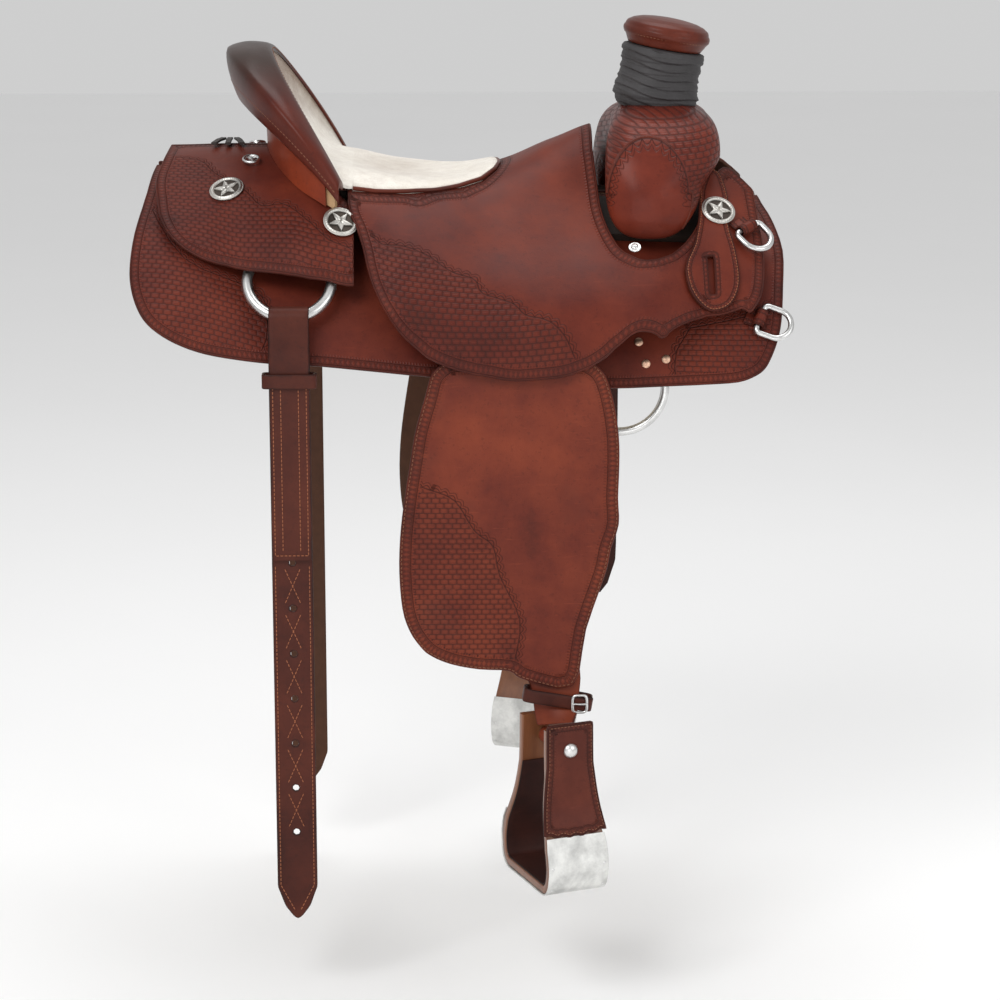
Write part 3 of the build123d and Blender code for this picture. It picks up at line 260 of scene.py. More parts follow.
def panel(name, loops, mapf, thick, step=5.0, zone=None, lift=None, rnd=1.6, mat=None, under=None, uvrot=0.0, inner=None):
    """A sheet of leather: outline loops (the first outside, the rest holes) in a flat (a, b) plane, laid on a surface."""
    loops = [by_step(l, min(step, 3.2), True) for l in loops]
    area = 0.5 * np.sum(loops[0][:, 0] * np.roll(loops[0][:, 1], -1) - np.roll(loops[0][:, 0], -1) * loops[0][:, 1])
    if area < 0:
        loops[0] = loops[0][::-1]
    lo, hi = loops[0].min(0), loops[0].max(0)
    gx = np.arange(lo[0], hi[0], step)
    gy = np.arange(lo[1], hi[1], step * 0.866)
    X, Y = np.meshgrid(gx, gy)
    X = X + (np.arange(len(gy)) % 2)[:, None] * step / 2
    pts = np.stack([X.ravel(), Y.ravel()], -1)
    extra = []
    for i, l in enumerate(loops):
        for dd in (rnd * 0.35, rnd):
            extra.append(offset_ring(l, dd, 1.0 if i == 0 else (1.0 if 0.5 * np.sum(l[:, 0] * np.roll(l[:, 1], -1) - np.roll(l[:, 0], -1) * l[:, 1]) < 0 else -1.0)))
    allb = loops
    def dist_all(p):
        ds = [seg_dist(p, l) for l in allb]
        k = np.argmin([q[0] for q in ds], 0)
        i = np.arange(len(p))
        return np.array([q[0] for q in ds])[k, i], np.array([q[1] for q in ds])[k, i]
    keep = inside(loops[0], pts)
    for h in loops[1:]:
        keep &= ~inside(h, pts)
    pts = pts[keep]
    pts = pts[dist_all(pts)[0] > rnd + 1.2]
    for j, e in enumerate(extra):
        want = rnd * 0.35 if j % 2 == 0 else rnd
        ok = inside(loops[0], e)
        for h in loops[1:]:
            ok &= ~inside(h, e)
        e = e[ok]
        if len(e):
            pts = np.vstack([pts, e[dist_all(e)[0] > want * 0.9]])
    nb = sum(len(l) for l in loops)
    co = np.vstack(loops + [pts])
    edges, k = [], 0
    for l in loops:
        edges += [(k + i, k + (i + 1) % len(l)) for i in range(len(l))]
        k += len(l)
    vo, eo, fo, ov, oe, of_ = delaunay_2d_cdt([Vector(c) for c in co.tolist()], edges, [], 0, 1e-4)
    P2 = np.array([tuple(v) for v in vo])
    F = np.array([f for f in fo if len(f) == 3])
    c = P2[F].mean(1)
    ok = inside(loops[0], c)
    for h in loops[1:]:
        ok &= ~inside(h, c)
    F = F[ok]
    used = np.unique(F)
    remap = -np.ones(len(P2), int)
    remap[used] = np.arange(len(used))
    P2, F = P2[used], remap[F]
    d, al = dist_all(P2)
    e = 0.8
    P = mapf(P2[:, 0], P2[:, 1])
    pa = mapf(P2[:, 0] + e, P2[:, 1]) - mapf(P2[:, 0] - e, P2[:, 1])
    pb = mapf(P2[:, 0], P2[:, 1] + e) - mapf(P2[:, 0], P2[:, 1] - e)
    N = np.cross(pa, pb)
    N /= np.maximum(np.linalg.norm(N, axis=1, keepdims=True), 1e-9)
    if under is not None and (N @ np.asarray(under)).mean() < 0:
        N = -N
        flip = True
    else:
        flip = False
    q = np.clip(d / rnd, 0, 1)
    th = thick if np.isscalar(thick) else thick(P2[:, 0], P2[:, 1])
    drop = np.minimum(rnd, th * 0.45) * (1 - np.sqrt(np.clip(1 - (1 - q) ** 2, 0, 1)))
    up = np.zeros(len(P2)) if lift is None else lift(P2[:, 0], P2[:, 1], d)
    top = P + N * (up - drop)[:, None]
    bot = P + N * (up - th + drop)[:, None]
    n = len(P2)
    # outward orientation of the top faces
    f0 = F[: min(len(F), 400)]
    nn = np.cross(top[f0[:, 1]] - top[f0[:, 0]], top[f0[:, 2]] - top[f0[:, 0]])
    if (nn * N[f0[:, 0]]).sum() < 0:
        F = F[:, ::-1]
    faces = [tuple(f) for f in F] + [tuple(f[::-1] + n) for f in F]
    cnt = {}
    for f in F:
        for i in range(3):
            a, b = int(f[i]), int(f[(i + 1) % 3])
            if (b, a) in cnt:
                del cnt[(b, a)]
            else:
                cnt[(a, b)] = 1
    faces += [(b, a, a + n, b + n) for a, b in cnt]
    cr, sr = math.cos(uvrot), math.sin(uvrot)
    uv = np.stack([P2[:, 0] * cr - P2[:, 1] * sr, P2[:, 0] * sr + P2[:, 1] * cr, np.zeros(n)], -1)
    if inner is not None:
        # the tooled border also follows a line that lies inside the outline
        di, ai = seg_dist(P2, inner, False)
        al = np.where(di < d, ai, al)
        d = np.minimum(d, di)
    at = {"uvmm": np.vstack([uv, uv]), "edge": np.tile(d, 2), "along": np.tile(al, 2),
          "top": np.concatenate([np.ones(n), np.zeros(n)])}
    if zone:
        z, za = np.full(n, -200.0), np.zeros(n)
        for poly in zone:
            poly = by_step(poly, 3.0, True)
            dd, aa = seg_dist(P2, poly)
            s = np.where(inside(poly, P2), dd, -dd)
            b = s > z
            z, za = np.where(b, s, z), np.where(b, aa, za)
        at["zone"], at["zalong"] = np.tile(z, 2), np.tile(za, 2)
    else:
        at["zone"], at["zalong"] = np.full(2 * n, -200.0), np.zeros(2 * n)
    return new_obj(name, np.vstack([top, bot]), faces, at, mat, 50.0)


def grid_mesh(name, P, close_u=False, close_v=False, mat=None, uv=None, cap=False, sharp=50.0, extra=None):
    """P is (nu, nv, 3) in mm."""
    nu, nv = P.shape[:2]
    idx = np.arange(nu * nv).reshape(nu, nv)
    faces = []
    for i in range(nu if close_u else nu - 1):
        a, b = idx[i], idx[(i + 1) % nu]
        for j in range(nv if close_v else nv - 1):
            k = (j + 1) % nv
            faces.append((a[j], b[j], b[k], a[k]))
    if cap:
        faces.append(tuple(idx[0][::1]))
        faces.append(tuple(idx[-1][::-1]))
    if uv is None:
        su = np.concatenate([[0], np.cumsum(np.linalg.norm(np.diff(P, axis=0), axis=-1).mean(1))])
        sv = np.concatenate([[0], np.cumsum(np.linalg.norm(np.diff(P, axis=1), axis=-1).mean(0))])
        uv = np.stack(list(np.meshgrid(su, sv, indexing="ij")) + [np.zeros((nu, nv))], -1)
    n = nu * nv
    at = {"uvmm": uv.reshape(-1, 3), "edge": np.full(n, 60.0), "along": np.zeros(n), "top": np.ones(n),
          "zone": np.full(n, -200.0), "zalong": np.zeros(n)}
    for k, a in (extra or {}).items():
        at[k] = np.asarray(a, float).reshape(-1)
    o = new_obj(name, P.reshape(-1, 3), faces, at, mat, sharp)
    fix_normals(o)
    return o


def fix_normals(o):
    import bmesh
    bm = bmesh.new()
    bm.from_mesh(o.data)
    bmesh.ops.recalc_face_normals(bm, faces=bm.faces)
    bm.to_mesh(o.data)
    bm.free()
    o.data.update()


def tube(name, path, r, n=12, mat=None, closed=False, rfun=None):
    path = np.asarray(path, float)
    m = len(path)
    t = np.gradient(path, axis=0) if not closed else np.roll(path, -1, 0) - np.roll(path, 1, 0)
    t /= np.linalg.norm(t, axis=1, keepdims=True)
    ref = np.array([0.0, 0.0, 1.0]) if abs(t[0][2]) < 0.9 else np.array([0.0, 1.0, 0.0])
    us = []
    u = np.cross(t[0], ref)
    for i in range(m):
        u = u - t[i] * (u @ t[i])
        u /= np.linalg.norm(u)
        us.append(u.copy())
    us = np.array(us)
    w = np.cross(t, us)
    a = np.linspace(0, 2 * np.pi, n, endpoint=False)
    rr = np.full(m, r) if rfun is None else rfun
    P = path[:, None] + rr[:, None, None] * (np.cos(a)[None, :, None] * us[:, None] + np.sin(a)[None, :, None] * w[:, None])
    return grid_mesh(name, P, close_u=closed, close_v=True, mat=mat, cap=not closed)


def lathe(name, prof, frame_m, n=72, mat=None, disp=None, sharp=35.0):
    """prof: (r, h) list; frame_m: (origin, ex, ey, ez)."""
    o, ex, ey, ez = [np.asarray(v, float) for v in frame_m]
    prof = np.asarray(prof, float)
    a = np.linspace(0, 2 * np.pi, n, endpoint=False)
    r = prof[:, 0][:, None] + (0 if disp is None else disp(prof[:, 1][:, None], a[None]))
    r = np.maximum(r, 0.02)
    P = (o + (r * np.cos(a))[..., None] * ex + (r * np.sin(a))[..., None] * ey + (prof[:, 1][:, None] + 0 * a)[..., None] * ez)
    return grid_mesh(name, P, close_v=True, mat=mat, cap=True, sharp=sharp)


def join(name, objs):
    bpy.ops.object.select_all(action="DESELECT")
    for o in objs:
        o.select_set(True)
    bpy.context.view_layer.objects.active = objs[0]
    if len(objs) > 1:
        bpy.ops.object.join()
    objs[0].name = name
    objs[0].data.name = name
    return objs[0]


def stitches(name, path, normal, pitch=4.2, r=0.55, mat=None, sink=0.12):
    """Thread stitches lying along a path of 3-D points; normal is one vector or one per point."""
    path = np.asarray(path, float)
    seg = np.linalg.norm(np.diff(path, axis=0), axis=1)
    acc = np.concatenate([[0], np.cumsum(seg)])
    k = max(1, int(acc[-1] / pitch))
    t0 = np.arange(k) * (acc[-1] / k) + 0.14 * pitch
    t1 = t0 + 0.78 * acc[-1] / k
    at = lambda t: np.stack([np.interp(t, acc, path[:, j]) for j in range(3)], -1)
    nrm = np.asarray(normal, float)
    nat = (lambda t: np.stack([np.interp(t, acc, nrm[:, j]) for j in range(3)], -1)) if nrm.ndim == 2 else (lambda t: np.tile(nrm, (len(t), 1)))
    A, B = at(t0), at(t1)
    N = nat((t0 + t1) / 2)
    N /= np.linalg.norm(N, axis=1, keepdims=True)
    D = B - A
    D /= np.maximum(np.linalg.norm(D, axis=1, keepdims=True), 1e-9)
    S = np.cross(D, N)
    ang = np.linspace(0, 2 * np.pi, 6, endpoint=False)
    V, F, base = [], [], 0
    fr = (0.0, 0.18, 0.5, 0.82, 1.0)
    hh = (-0.6, 0.55, 1.0, 0.55, -0.6)
    rs = (0.45, 0.95, 1.0, 0.95, 0.45)
    for i in range(k):
        rings = []
        for f, h, q in zip(fr, hh, rs):
            c = A[i] + (B[i] - A[i]) * f + N[i] * (h * r * 0.6 - sink)
            rings.append(c + q * r * (np.cos(ang)[:, None] * S[i] + np.sin(ang)[:, None] * N[i]))
        V += rings
        for q in range(4):
            for j in range(6):
                jj = (j + 1) % 6
                F.append((base + q * 6 + j, base + (q + 1) * 6 + j, base + (q + 1) * 6 + jj, base + q * 6 + jj))
        F.append(tuple(base + j for j in range(6)))
        F.append(tuple(base + 24 + 5 - j for j in range(6)))
        base += 30
    o = new_obj(name, np.vstack(V), F, None, mat, 0)
    fix_normals(o)
    return o


# ---------------------------------------------------------------------------
# materials
# ---------------------------------------------------------------------------
class Nodes:
    def __init__(self, name):
        self.m = bpy.data.materials.new(name)
        self.m.use_nodes = True
        self.t = self.m.node_tree
        self.t.nodes.clear()
        self.out = self.t.nodes.new("ShaderNodeOutputMaterial")
        self.b = self.t.nodes.new("ShaderNodeBsdfPrincipled")
        self.t.links.new(self.b.outputs[0], self.out.inputs[0])

    def link(self, a, b):
        self.t.links.new(a, b)

    def attr(self, name, vec=False):
        n = self.t.nodes.new("ShaderNodeAttribute")
        n.attribute_type = "GEOMETRY"
        n.attribute_name = name
        return n.outputs["Vector"] if vec else n.outputs["Fac"]

    def math(self, op, a, b=0.0, c=0.0, clamp=False):
        n = self.t.nodes.new("ShaderNodeMath")
        n.operation = op
        n.use_clamp = clamp
        for i, v in enumerate((a, b, c)):
            if isinstance(v, (int, float)):
                n.inputs[i].default_value = float(v)
            else:
                self.link(v, n.inputs[i])
        return n.outputs[0]

    def vmath(self, op, a, b=(0, 0, 0)):
        n = self.t.nodes.new("ShaderNodeVectorMath")
        n.operation = op
        for i, v in enumerate((a, b)):
            if isinstance(v, (tuple, list)):
                n.inputs[i].default_value = v
            else:
                self.link(v, n.inputs[i])
        return n.outputs[0]

    def scale(self, v, s):
        n = self.t.nodes.new("ShaderNodeVectorMath")
        n.operation = "SCALE"
        self.link(v, n.inputs[0])
        n.inputs[3].default_value = s
        return n.outputs[0]

    def sep(self, v):
        n = self.t.nodes.new("ShaderNodeSeparateXYZ")
        self.link(v, n.inputs[0])
        return n.outputs[0], n.outputs[1], n.outputs[2]

    def comb(self, x, y, z=0.0):
        n = self.t.nodes.new("ShaderNodeCombineXYZ")
        for i, v in enumerate((x, y, z)):
            if isinstance(v, (int, float)):
                n.inputs[i].default_value = float(v)
            else:
                self.link(v, n.inputs[i])
        return n.outputs[0]

    def noise(self, vec, scale, detail=4.0, rough=0.55, dist=0.0):
        n = self.t.nodes.new("ShaderNodeTexNoise")
        self.link(vec, n.inputs["Vector"])
        n.inputs["Scale"].default_value = scale
        n.inputs["Detail"].default_value = detail
        n.inputs["Roughness"].default_value = rough
        n.inputs["Distortion"].default_value = dist
        return n.outputs[0]

    def voronoi(self, vec, scale, feature="F1", rand=1.0):
        n = self.t.nodes.new("ShaderNodeTexVoronoi")
        n.feature = feature
        self.link(vec, n.inputs["Vector"])
        n.inputs["Scale"].default_value = scale
        n.inputs["Randomness"].default_value = rand
        return n.outputs[0]

    def ramp(self, f, stops, interp="LINEAR"):
        n = self.t.nodes.new("ShaderNodeValToRGB")
        n.color_ramp.interpolation = interp
        el = n.color_ramp.elements
        while len(el) > 2:
            el.remove(el[-1])
        for i, (p, c) in enumerate(stops):
            e = el[i] if i < 2 else el.new(p)
            e.position = p
            e.color = (*c, 1.0) if len(c) == 3 else c
        self.link(f, n.inputs[0])
        return n.outputs[0]

    def mix(self, f, a, b, mode="MIX"):
        n = self.t.nodes.new("ShaderNodeMix")
        n.data_type = "RGBA"
        n.blend_type = mode
        n.clamp_factor = True
        for s, v in ((n.inputs[0], f), (n.inputs[6], a), (n.inputs[7], b)):
            if isinstance(v, (int, float)):
                s.default_value = float(v)
            elif isinstance(v, tuple):
                s.default_value = (*v, 1.0) if len(v) == 3 else v
            else:
                self.link(v, s)
        return n.outputs[2]

    def bump(self, h, dist=0.001, strength=1.0, normal=None):
        n = self.t.nodes.new("ShaderNodeBump")
        n.inputs["Strength"].default_value = strength
        n.inputs["Distance"].default_value = dist
        self.link(h, n.inputs["Height"])
        if normal is not None:
            self.link(normal, n.inputs["Normal"])
        return n.outputs[0]

    def obj(self):
        n = self.t.nodes.new("ShaderNodeTexCoord")
        return n.outputs["Object"]

    def line(self, d, at, w):
        """1 on a line at distance `at`, falling to 0 over w."""
        return self.math("SUBTRACT", 1.0, self.math("DIVIDE", self.math("ABSOLUTE", self.math("SUBTRACT", d, at)), w), clamp=True)

    def band(self, d, lo, hi, soft=0.6):
        a = self.math("DIVIDE", self.math("SUBTRACT", d, lo), soft, clamp=True)
        b = self.math("DIVIDE", self.math("SUBTRACT", hi, d), soft, clamp=True)
        return self.math("MULTIPLY", a, b)


def leather(name, base=(0.098, 0.021, 0.0125), hi=(0.185, 0.040, 0.0185), dark=(0.030, 0.0085, 0.0065), border=True,
            basket="zone", edge_dark=3.0, flesh=(0.085, 0.036, 0.02), rough=0.46, coat=0.12, grain=1.0, border_w=11.0,
            pitch=(8.6, 5.4), wear=0.5, smudge=0.0, crest=False):
    base = (base[0] * 0.90, base[1] * 0.70, base[2] * 0.72)
    hi = (hi[0] * 0.86, hi[1] * 0.70, hi[2] * 0.72)
    g = Nodes(name)
    uv, ed, al, zn, za, tp = g.attr("uvmm", True), g.attr("edge"), g.attr("along"), g.attr("zone"), g.attr("zalong"), g.attr("top")
    ob = g.obj()
    # large and middle colour variation
    n1 = g.noise(ob, 9.0, 5.0, 0.6)
    n2 = g.noise(ob, 38.0, 6.0, 0.62)
    n3 = g.noise(ob, 240.0, 3.0, 0.6)
    mixf = g.math("ADD", g.math("MULTIPLY", n1, 0.80), g.math("MULTIPLY", n2, 0.30))
    col = g.ramp(mixf, [(0.26, dark), (0.46, base), (0.78, hi)])
    # height in mm, stamped down from 0
    u, v, _ = g.sep(uv)
    terms = []
    wob = g.math("MULTIPLY", g.math("SUBTRACT", g.noise(ob, 60.0, 2.0), 0.5), 0.5)
    top_only = g.math("GREATER_THAN", tp, 0.5)
    if basket:
        pw, ph = pitch
        row = g.math("FLOOR", g.math("DIVIDE", v, ph))
        uu = g.math("ADD", g.math("DIVIDE", u, pw), g.math("MULTIPLY", g.math("MODULO", g.math("ABSOLUTE", row), 2.0), 0.5))
        fu = g.math("SUBTRACT", g.math("FRACT", uu), 0.5)
        fv = g.math("SUBTRACT", g.math("FRACT", g.math("DIVIDE", v, ph)), 0.5)
        au, av = g.math("ABSOLUTE", fu), g.math("ABSOLUTE", fv)
        pil = g.math("MULTIPLY", g.math("SUBTRACT", 1.0, g.math("POWER", g.math("MULTIPLY", au, 2.0), 3.0)),
                     g.math("SUBTRACT", 1.0, g.math("POWER", g.math("MULTIPLY", av, 2.0), 2.6)), clamp=True)
        rib = g.math("MULTIPLY", g.math("COSINE", g.math("MULTIPLY", fv, 2 * math.pi * 3.0)), 0.16)
        bas = g.math("ADD", g.math("SUBTRACT", pil, 0.75), g.math("MULTIPLY", rib, pil))
        if basket == "zone":
            inz = g.math("MULTIPLY", g.math("DIVIDE", g.math("SUBTRACT", zn, 1.0), 1.5, clamp=True),
                         g.math("GREATER_THAN", ed, border_w + 1.0 if border else 3.0))
        else:
            inz = g.math("GREATER_THAN", ed, border_w + 1.0 if border else 3.0)
        terms.append((g.math("MULTIPLY", bas, inz), 0.95))
        # scalloped edge of the stamped field
        sc = g.math("MULTIPLY", g.math("ABSOLUTE", g.math("SINE", g.math("MULTIPLY", za, math.pi / 9.0))), 3.2)
        zz = g.math("ADD", zn, sc)
        guard = g.math("GREATER_THAN", ed, border_w + 1.0 if border else 2.0)
        terms.append((g.math("MULTIPLY", g.line(zn, 0.2, 1.0), guard), -0.9))
        terms.append((g.math("MULTIPLY", g.line(zz, 0.0, 0.9), guard), -0.8))
        terms.append((g.math("MULTIPLY", g.line(zz, -3.2, 0.8), guard), -0.6))
    if border:
        bw = border_w
        cells = g.math("FRACT", g.math("DIVIDE", al, 5.2))
        cc = g.math("ABSOLUTE", g.math("SUBTRACT", cells, 0.5))
        bd = g.math("SUBTRACT", ed, bw * 0.55)
        leaf = g.math("SUBTRACT", 1.0, g.math("ADD", g.math("MULTIPLY", cc, 2.1), g.math("DIVIDE", g.math("ABSOLUTE", bd), bw * 0.33)), clamp=True)
        inb = g.band(ed, bw * 0.26, bw * 0.86, 0.5)
        terms.append((g.math("MULTIPLY", g.math("SUBTRACT", g.math("SQRT", leaf), 0.8), inb), 0.7))
        terms.append((g.line(ed, bw * 0.2, 0.7), -0.9))
        terms.append((g.line(ed, bw * 0.92, 0.8), -0.9))
        # outer rows of small beads
        bead = g.math("COSINE", g.math("MULTIPLY", al, 2 * math.pi / 3.1))
        terms.append((g.math("MULTIPLY", bead, g.band(ed, bw * 0.97, bw * 1.22, 0.4)), -0.28))
    h = None
    for t, k in terms:
        t = g.math("MULTIPLY", t, k)
        h = t if h is None else g.math("ADD", h, t)
    if h is None:
        h = g.math("MULTIPLY", ed, 0.0)
    h = g.math("MULTIPLY", h, top_only)
    deep = g.math("MULTIPLY", g.math("MINIMUM", h, 0.0), -1.15, clamp=True)
    col = g.mix(g.math("MULTIPLY", deep, 0.85), col, dark)
    raised = g.math("MULTIPLY", g.math("MAXIMUM", h, 0.0), 1.4, clamp=True)
    col = g.mix(g.math("MULTIPLY", raised, 0.35), col, hi)
    # rubbed, darker edges and creases
    en = g.math("ADD", ed, g.math("MULTIPLY", g.math("SUBTRACT", n2, 0.5), 5.0))
    ef = g.math("SUBTRACT", 1.0, g.math("DIVIDE", en, edge_dark), clamp=True)
    col = g.mix(g.math("MULTIPLY", ef, 0.75), col, dark)
    # fine grain, scratches
    sp = g.math("GREATER_THAN", n3, 0.62)
    col = g.mix(g.math("MULTIPLY", sp, 0.18), col, dark)
    scr = g.noise(g.vmath("MULTIPLY", ob, (30.0, 30.0, 300.0)), 1.0, 4.0, 0.7, 0.6)
    scrf = g.math("MULTIPLY", g.math("SUBTRACT", scr, 0.60), 3.5 * wear, clamp=True)
    col = g.mix(scrf, col, (hi[0] * 1.25, hi[1] * 1.3, hi[2] * 1.3))
    if smudge:
        sm = g.math("MULTIPLY", g.math("SUBTRACT", g.noise(ob, 14.0, 3.0, 0.5), 0.60), 6.0, clamp=True)
        col = g.mix(g.math("MULTIPLY", sm, smudge), col, (0.03, 0.022, 0.02))
    if crest:
        cr = g.math("ADD", g.attr("grime_and_shade"), g.math("MULTIPLY", g.math("SUBTRACT", n2, 0.5), 0.35), clamp=True)
        col = g.mix(cr, col, (0.028, 0.017, 0.013))
    # flesh side
    fl = g.mix(g.noise(ob, 90.0, 5.0), flesh, tuple(c * 0.55 for c in flesh))
    col = g.mix(g.math("SUBTRACT", 1.0, g.math("MULTIPLY", tp, 2.4, clamp=True)), col, fl)
    g.link(col, g.b.inputs["Base Color"])
    r = g.math("ADD", rough - 0.1, g.math("ADD", g.math("MULTIPLY", n2, 0.18), g.math("MULTIPLY", deep, 0.15)), clamp=True)
    g.link(r, g.b.inputs["Roughness"])
    g.b.inputs["Coat Weight"].default_value = coat * 0.2
    g.b.inputs["Coat Roughness"].default_value = 0.35
    g.b.inputs["Specular IOR Level"].default_value = 0.13
    pores = g.voronoi(g.scale(ob, 1000.0), 0.9)
    fine = g.math("ADD", g.math("MULTIPLY", pores, 0.05 * grain), g.math("MULTIPLY", n3, 0.07 * grain))
    wav = g.math("MULTIPLY", g.noise(ob, 26.0, 3.0), 0.45 * grain)
    tot = g.math("ADD", h, g.math("ADD", fine, wav))
    g.link(g.bump(tot, 0.00075), g.b.inputs["Normal"])
    return g.m


def metal(name, col=(0.72, 0.72, 0.72), rough=0.22, scratch=1.0, dirt=0.35, cavity=False):
    g = Nodes(name)
    ob = g.obj()
    n1 = g.noise(ob, 45.0, 5.0, 0.6)
    n2 = g.noise(g.vmath("MULTIPLY", ob, (400.0, 90.0, 400.0)), 1.0, 3.0, 0.6)
    c = g.ramp(n1, [(0.3, tuple(x * (1 - dirt) for x in col)), (0.62, col)])
    if cavity:
        c = g.mix(g.attr("grime_and_shade"), c, (0.05, 0.038, 0.03))
    g.link(c, g.b.inputs["Base Color"])
    g.b.inputs["Metallic"].default_value = 1.0
    g.link(g.math("ADD", rough, g.math("MULTIPLY", g.math("ADD", n1, n2), 0.16 * scratch), clamp=True), g.b.inputs["Roughness"])
    g.link(g.bump(g.math("ADD", g.math("MULTIPLY", n2, 0.4), n1), 0.00012 * scratch), g.b.inputs["Normal"])
    return g.m


def simple(name, c0, c1, scale=40.0, rough=0.7, bump=0.3, stretch=(1, 1, 1), spec=0.4, sheen=0.0, detail=5.0, dist=0.0, coat=0.0):
    g = Nodes(name)
    ob = g.vmath("MULTIPLY", g.obj(), stretch)
    n1 = g.noise(ob, scale, detail, 0.6, dist)
    n2 = g.noise(ob, scale * 6, 4.0, 0.6)
    c = g.mix(g.math("ADD", g.math("MULTIPLY", n1, 1.3), -0.15, clamp=True), c0, c1)
    c = g.mix(g.math("MULTIPLY", n2, 0.35), c, tuple(x * 0.6 for x in c0))
    g.link(c, g.b.inputs["Base Color"])
    g.link(g.math("ADD", rough - 0.08, g.math("MULTIPLY", n2, 0.16), clamp=True), g.b.inputs["Roughness"])
    g.b.inputs["Specular IOR Level"].default_value = spec
    g.b.inputs["Sheen Weight"].default_value = sheen
    g.b.inputs["Coat Weight"].default_value = coat
    g.link(g.bump(g.math("ADD", n1, g.math("MULTIPLY", n2, 0.5)), 0.001 * bump), g.b.inputs["Normal"])
    return g.m


M_SKIRT = leather("skirt_leather", border_w=10.0, basket="zone")
M_JOCKEY = leather("jockey_leather", border_w=11.0, basket="zone", smudge=0.12)
M_FENDER = leather("fender_leather", base=(0.125, 0.028, 0.015), hi=(0.235, 0.056, 0.024), border_w=13.0, basket="zone", wear=0.7, smudge=0.2)
M_FORK = leather("fork_leather", base=(0.105, 0.022, 0.013), hi=(0.21, 0.042, 0.02), border=False, basket="zone", rough=0.36, coat=0.3)
M_CREST = leather("crest_leather", base=(0.060, 0.016, 0.011), hi=(0.135, 0.030, 0.016), dark=(0.022, 0.010, 0.009), border=False, basket=None, rough=0.34, coat=0.3, wear=0.5, crest=True)
M_ROLL = leather("roll_leather", base=(0.066, 0.020, 0.013), hi=(0.17, 0.040, 0.020), dark=(0.026, 0.010, 0.008), border=False, basket=None, rough=0.36, coat=0.3, wear=0.8)
M_BACK = leather("cantle_leather", base=(0.15, 0.030, 0.013), hi=(0.30, 0.062, 0.022), border=False, basket=None, rough=0.34, coat=0.35)
M_STRAP = leather("strap_leather", base=(0.055, 0.018, 0.012), hi=(0.115, 0.034, 0.019), dark=(0.016, 0.008, 0.007), border=False, basket=None, edge_dark=2.0, wear=0.6)
M_LATIGO = leather("latigo_leather", base=(0.030, 0.013, 0.010), hi=(0.065, 0.024, 0.016), dark=(0.012, 0.007, 0.006), border=False, basket=None, edge_dark=2.0, rough=0.6)
M_NECK = leather("neck_leather", base=(0.14, 0.032, 0.015), hi=(0.27, 0.07, 0.028), border=False, basket=None, edge_dark=2.0)
M_KEEP = leather("keeper_leather", border_w=6.0, basket=None)
M_COVER = leather("cover_leather", base=(0.070, 0.020, 0.013), hi=(0.14, 0.040, 0.023), border_w=8.0, basket=None)


def suede():
    g = Nodes("suede_grime_and_shade")
    ob = g.obj()
    uv, ed = g.attr("uvmm", True), g.attr("edge")
    n1, n2, n3 = g.noise(ob, 14.0, 5.0, 0.6), g.noise(ob, 70.0, 5.0, 0.65), g.noise(ob, 600.0, 4.0, 0.7)
    col = g.mix(g.math("ADD", g.math("MULTIPLY", n1, 0.8), g.math("MULTIPLY", n2, 0.35), clamp=True), (0.66, 0.60, 0.50), (0.90, 0.88, 0.83))
    # painted shadow across the upper cantle dish, darker right under the rim, grime where the rider sits and darker
    # towards the seat's sides and front end
    grime_and_shade = g.attr("grime_and_shade")
    w = g.math("ADD", grime_and_shade, g.math("MULTIPLY", g.math("SUBTRACT", n2, 0.5), 0.9), clamp=True)
    col = g.mix(g.math("MULTIPLY", w, 0.88), col, g.mix(n1, (0.14, 0.075, 0.04), (0.30, 0.19, 0.12)))
    col = g.mix(g.math("MULTIPLY", g.math("SUBTRACT", n3, 0.45), 1.2, clamp=True), col, (0.42, 0.33, 0.25))
    g.link(col, g.b.inputs["Base Color"])
    g.b.inputs["Roughness"].default_value = 0.92
    g.b.inputs["Sheen Weight"].default_value = 0.35
    g.b.inputs["Specular IOR Level"].default_value = 0.15
    g.link(g.bump(g.math("ADD", n3, g.math("MULTIPLY", n2, 1.6)), 0.0006), g.b.inputs["Normal"])
    return g.m


M_SUEDE = suede()
M_RUBBER = simple("rubber_wrap", (0.030, 0.028, 0.029), (0.060, 0.056, 0.058), 30.0, 0.62, 0.5, spec=0.35)
M_STEEL = metal("polished_steel", (0.74, 0.74, 0.73), 0.16, 1.0, 0.3)
M_SILVER = metal("concho_silver", (0.62, 0.60, 0.56), 0.26, 1.2, 0.45, True)
M_TIN = metal("sheet_binding", (0.80, 0.80, 0.78), 0.34, 1.8, 0.38)
M_COPPER = metal("copper_rivet", (0.72, 0.46, 0.33), 0.3, 1.0, 0.3)
M_WOODF = simple("fork_wood", (0.40, 0.24, 0.12), (0.55, 0.36, 0.19), 8.0, 0.6, 0.3, stretch=(1, 1, 8))
M_WOOD = simple("stirrup_wood", (0.11, 0.036, 0.015), (0.27, 0.10, 0.04), 12.0, 0.32, 0.15, stretch=(9, 9, 1), coat=0.35)
M_BAR = simple("bar_wood", (0.020, 0.012, 0.009), (0.045, 0.026, 0.017), 8.0, 0.75, 0.3, stretch=(1, 1, 8))
M_FLEECE = simple("wool_fleece", (0.62, 0.53, 0.40), (0.86, 0.80, 0.68), 120.0, 0.95, 1.8, spec=0.1, sheen=0.4)
M_THREAD = simple("waxed_thread", (0.26, 0.080, 0.032), (0.38, 0.13, 0.055), 300.0, 0.6, 0.2)
M_THREAD_D = simple("dark_thread", (0.16, 0.055, 0.028), (0.24, 0.09, 0.045), 300.0, 0.6, 0.2)
M_LACE = simple("black_lacing", (0.018, 0.014, 0.013), (0.05, 0.035, 0.03), 90.0, 0.55, 0.4)


# ---------------------------------------------------------------------------
# helpers for parts
# ---------------------------------------------------------------------------
def place(o, body, nodes=()):
    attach(o, body)
    if nodes:
        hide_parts(*nodes)
    return o


